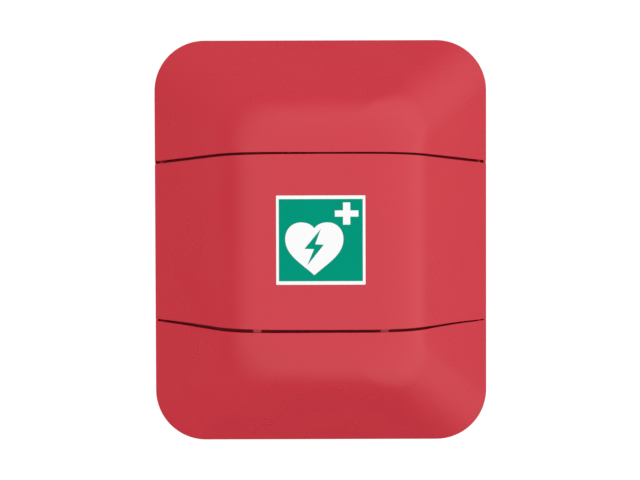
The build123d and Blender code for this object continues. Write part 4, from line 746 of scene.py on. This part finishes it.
aed_rubber = finish_of("aed_rubber", srgb(176, 34, 42), rough=0.7, specular=0.25, mottle=0.06,
                       grain=0.2)
handle_dark = finish_of("handle_dark", srgb(58, 60, 64), rough=0.55, specular=0.35, mottle=0.06,
                        grain=0.3, grain_size=0.0009)
fascia_dark = finish_of("fascia_dark", srgb(44, 47, 52), rough=0.32, mottle=0.03)
window_glass = finish_of("window_glass", srgb(74, 84, 88), rough=0.06, coat=1.0, mottle=0.02)
display_black = finish_of("display_black", srgb(30, 44, 40), rough=0.2, mottle=0.05)
ring_frosted = finish_of("ring_frosted", srgb(240, 190, 130), rough=0.4, mottle=0.02)
button_green = finish_of("button_green", srgb(20, 146, 74), rough=0.3, mottle=0.02, coat=0.2)
button_blue = finish_of("button_blue", srgb(34, 94, 170), rough=0.3, mottle=0.02, coat=0.2)
button_orange = finish_of("button_orange", srgb(235, 104, 20), rough=0.28, mottle=0.02, coat=0.3)
can_blue = finish_of("can_blue", srgb(46, 56, 84), rough=0.3, mottle=0.05, coat=0.3)
cradle_black = finish_of("cradle_black", srgb(34, 34, 36), rough=0.6, mottle=0.08)
cartridge_grey = finish_of("cartridge_grey", srgb(150, 153, 156), rough=0.45, mottle=0.03)
pull_yellow = finish_of("pull_yellow", srgb(242, 182, 20), rough=0.4, mottle=0.02)
pouch_white = finish_of("pouch_white", srgb(232, 230, 222), rough=0.3, mottle=0.04)
print_white = finish_of("print_white", srgb(236, 237, 236), rough=0.5, specular=0.3, mottle=0.01, edge=0)
pack_dark = finish_of("pack_dark", srgb(48, 50, 54), rough=0.55, mottle=0.05)

dress(hood_red, *mouldings)
dress(box_red, "back_box")
dress(strip_red, "upper_seam_strip", "lower_seam_strip")
dress(seal_black, "box_seal", "aed_case_gasket")
dress(sign_white, sign_plate, sign_heart, sign_cross)
dress(sign_green, sign_field, sign_bolt)
dress(zinc, "seam_screws", "seam_nuts", "tray_screws", "catch_screws", "alarm_screws", "strike_screws",
      "aed_case_screws", "aed_board_screws", "hinge_screws", "aed_handle_screws")
dress(bright_steel, "strike_plates", "hinge_pins", "hinge_clips", "box_hinge_leaves",
      "hood_hinge_leaves")
dress(ferrite, "catch_magnets", "sense_magnet")
dress(catch_grey, "catch_housings")
dress(tray_grey, "tray_bracket")
dress(mat_black, mat)
dress(alarm_white, "alarm_base", "alarm_cover")
dress(board_green, "alarm_board", "aed_main_board")
dress(siren_black, "alarm_siren", "aed_speaker")
dress(cell_black, "alarm_battery")
dress(lamp_red, "alarm_lamp")
dress(lock_chrome, "alarm_lock_body", "alarm_lock_plug")
dress(key_nickel, "alarm_key")
dress(aed_grey, "aed_front_case", "aed_rear_case")
dress(aed_rubber, "aed_bumper", "aed_handle_grip", grips)
dress(print_white, power_symbol, info_symbol, shock_symbol, fascia_symbols)
dress(handle_dark, "aed_handle")
dress(fascia_dark, "aed_fascia", heart_bolt)
dress(window_glass, "aed_status_window")
dress(display_black, "aed_status_display")
dress(ring_frosted, "aed_shock_ring")
dress(button_green, "aed_power_button")
dress(button_blue, "aed_info_button")
dress(button_orange, "aed_shock_button")
dress(can_blue, "aed_capacitor")
dress(cradle_black, "aed_capacitor_cradle")
dress(cartridge_grey, "pad_cartridge", "cartridge_lid")
dress(pull_yellow, "cartridge_pull")
dress(pouch_white, "electrode_pads")
dress(pack_dark, "battery_pack", "battery_latch")


# ---------------------------------------------------------------- floor, light, camera
ROOM_FRONT, ROOM_BEHIND, ROOM_TOWARD, KEY_POWER = 0.84, 1.62, (0, 1, -0.25), 7
PANEL_TOWARD, PANEL_EDGE, PANEL_LIGHT = (0.42, -0.91, 0), (-0.1, 0.55), (0.05, 1.25)
CEILING_LIGHT = 0.09


def floor():
    bm = bmesh.new()
    half, level = 1.6, -1.15
    corners = [Vector((sx * half, sy * half, level)) for sx, sy in ((-1, -1), (1, -1), (1, 1), (-1, 1))]
    bm.faces.new([bm.verts.new(c) for c in corners])
    mesh = bpy.data.meshes.new("floor")
    bm.to_mesh(mesh)
    bm.free()
    plane = bpy.data.objects.new("floor", mesh)
    bpy.context.scene.collection.objects.link(plane)
    mesh.materials.append(finish_of("floor_white", (0.86, 0.86, 0.86, 1), rough=0.9, specular=0.1,
                                    mottle=0.01, mottle_size=0.4, grain=0.02, grain_size=0.004, edge=0))
    plane.visible_glossy = plane.visible_diffuse = False


def soft_light(name, place, aim, size, power):
    """Square soft light at `place`, turned to `aim`, and not seen in reflections."""
    data = bpy.data.lights.new(name, "AREA")
    data.shape = "RECTANGLE"
    data.size, data.size_y = size
    data.energy = power
    lamp = bpy.data.objects.new(name, data)
    bpy.context.scene.collection.objects.link(lamp)
    lamp.location = place
    lamp.rotation_euler = (Vector(aim) - Vector(place)).to_track_quat("-Z", "Y").to_euler()
    lamp.visible_glossy = False


def studio():
    """White surroundings whose reflection is bright in front and at the right, with a soft key."""
    scene = bpy.context.scene
    scene.view_settings.view_transform = "Standard"
    world = bpy.data.worlds.new("studio")
    world.use_nodes = True
    nodes, links = world.node_tree.nodes, world.node_tree.links
    backdrop = nodes["Background"]
    backdrop.inputs["Color"].default_value = (1, 1, 1, 1)
    backdrop.inputs["Strength"].default_value = 1.05
    room, mirrored = nodes.new("ShaderNodeBackground"), nodes.new("ShaderNodeBackground")
    room.inputs["Color"].default_value = (1, 1, 1, 1)
    mirrored.inputs["Color"].default_value = (1, 1, 1, 1)
    place = nodes.new("ShaderNodeTexCoord")
    toward = nodes.new("ShaderNodeVectorMath")
    toward.operation = "DOT_PRODUCT"
    toward.inputs[1].default_value = PANEL_TOWARD
    links.new(place.outputs["Generated"], toward.inputs[0])
    panel = nodes.new("ShaderNodeMapRange")
    panel.interpolation_type = "SMOOTHSTEP"
    panel.inputs["From Min"].default_value, panel.inputs["From Max"].default_value = PANEL_EDGE
    panel.inputs["To Min"].default_value, panel.inputs["To Max"].default_value = PANEL_LIGHT
    links.new(toward.outputs["Value"], panel.inputs["Value"])
    split = nodes.new("ShaderNodeSeparateXYZ")
    links.new(place.outputs["Generated"], split.inputs["Vector"])
    depthwise = nodes.new("ShaderNodeMapRange")
    depthwise.inputs["From Min"].default_value, depthwise.inputs["From Max"].default_value = -1, 1
    depthwise.inputs["To Min"].default_value = ROOM_FRONT
    depthwise.inputs["To Max"].default_value = ROOM_BEHIND
    rearward = nodes.new("ShaderNodeVectorMath")
    rearward.operation = "DOT_PRODUCT"
    rearward.inputs[1].default_value = ROOM_TOWARD
    links.new(place.outputs["Generated"], rearward.inputs[0])
    links.new(rearward.outputs["Value"], depthwise.inputs["Value"])
    links.new(depthwise.outputs["Result"], room.inputs["Strength"])
    ceiling = nodes.new("ShaderNodeMapRange")
    ceiling.interpolation_type = "SMOOTHSTEP"
    ceiling.inputs["From Min"].default_value, ceiling.inputs["From Max"].default_value = 0.3, 0.9
    ceiling.inputs["To Min"].default_value, ceiling.inputs["To Max"].default_value = 0, CEILING_LIGHT
    links.new(split.outputs["Z"], ceiling.inputs["Value"])
    both = nodes.new("ShaderNodeMath")
    links.new(panel.outputs["Result"], both.inputs[0])
    links.new(ceiling.outputs["Result"], both.inputs[1])
    links.new(both.outputs["Value"], mirrored.inputs["Strength"])
    path = nodes.new("ShaderNodeLightPath")
    rough_or_mirror, seen = nodes.new("ShaderNodeMixShader"), nodes.new("ShaderNodeMixShader")
    links.new(path.outputs["Is Glossy Ray"], rough_or_mirror.inputs["Fac"])
    links.new(room.outputs["Background"], rough_or_mirror.inputs[1])
    links.new(mirrored.outputs["Background"], rough_or_mirror.inputs[2])
    links.new(path.outputs["Is Camera Ray"], seen.inputs["Fac"])
    links.new(rough_or_mirror.outputs["Shader"], seen.inputs[1])
    links.new(backdrop.outputs["Background"], seen.inputs[2])
    links.new(seen.outputs["Shader"], nodes["World Output"].inputs["Surface"])
    scene.world = world
    soft_light("key_light", (1.7, -1.5, 1.5), (0, 0, 0), (1.3, 1.3), KEY_POWER)


def camera():
    """Straight in front, a little above the middle, tipped down by less than a degree."""
    data = bpy.data.cameras.new("camera")
    data.lens, data.sensor_width = 50, 36
    eye = bpy.data.objects.new("camera", data)
    bpy.context.scene.collection.objects.link(eye)
    distance, side, height, tip, roll = 0.9953, -0.0009, 0.0168, 0.82, -0.17
    eye.matrix_world = (Matrix.Translation((side, -DEPTH - distance, height))
                        @ Matrix.Rotation(math.radians(90 - tip), 4, "X")
                        @ Matrix.Rotation(math.radians(roll), 4, "Z"))
    bpy.context.scene.camera = eye


floor()
studio()
camera()
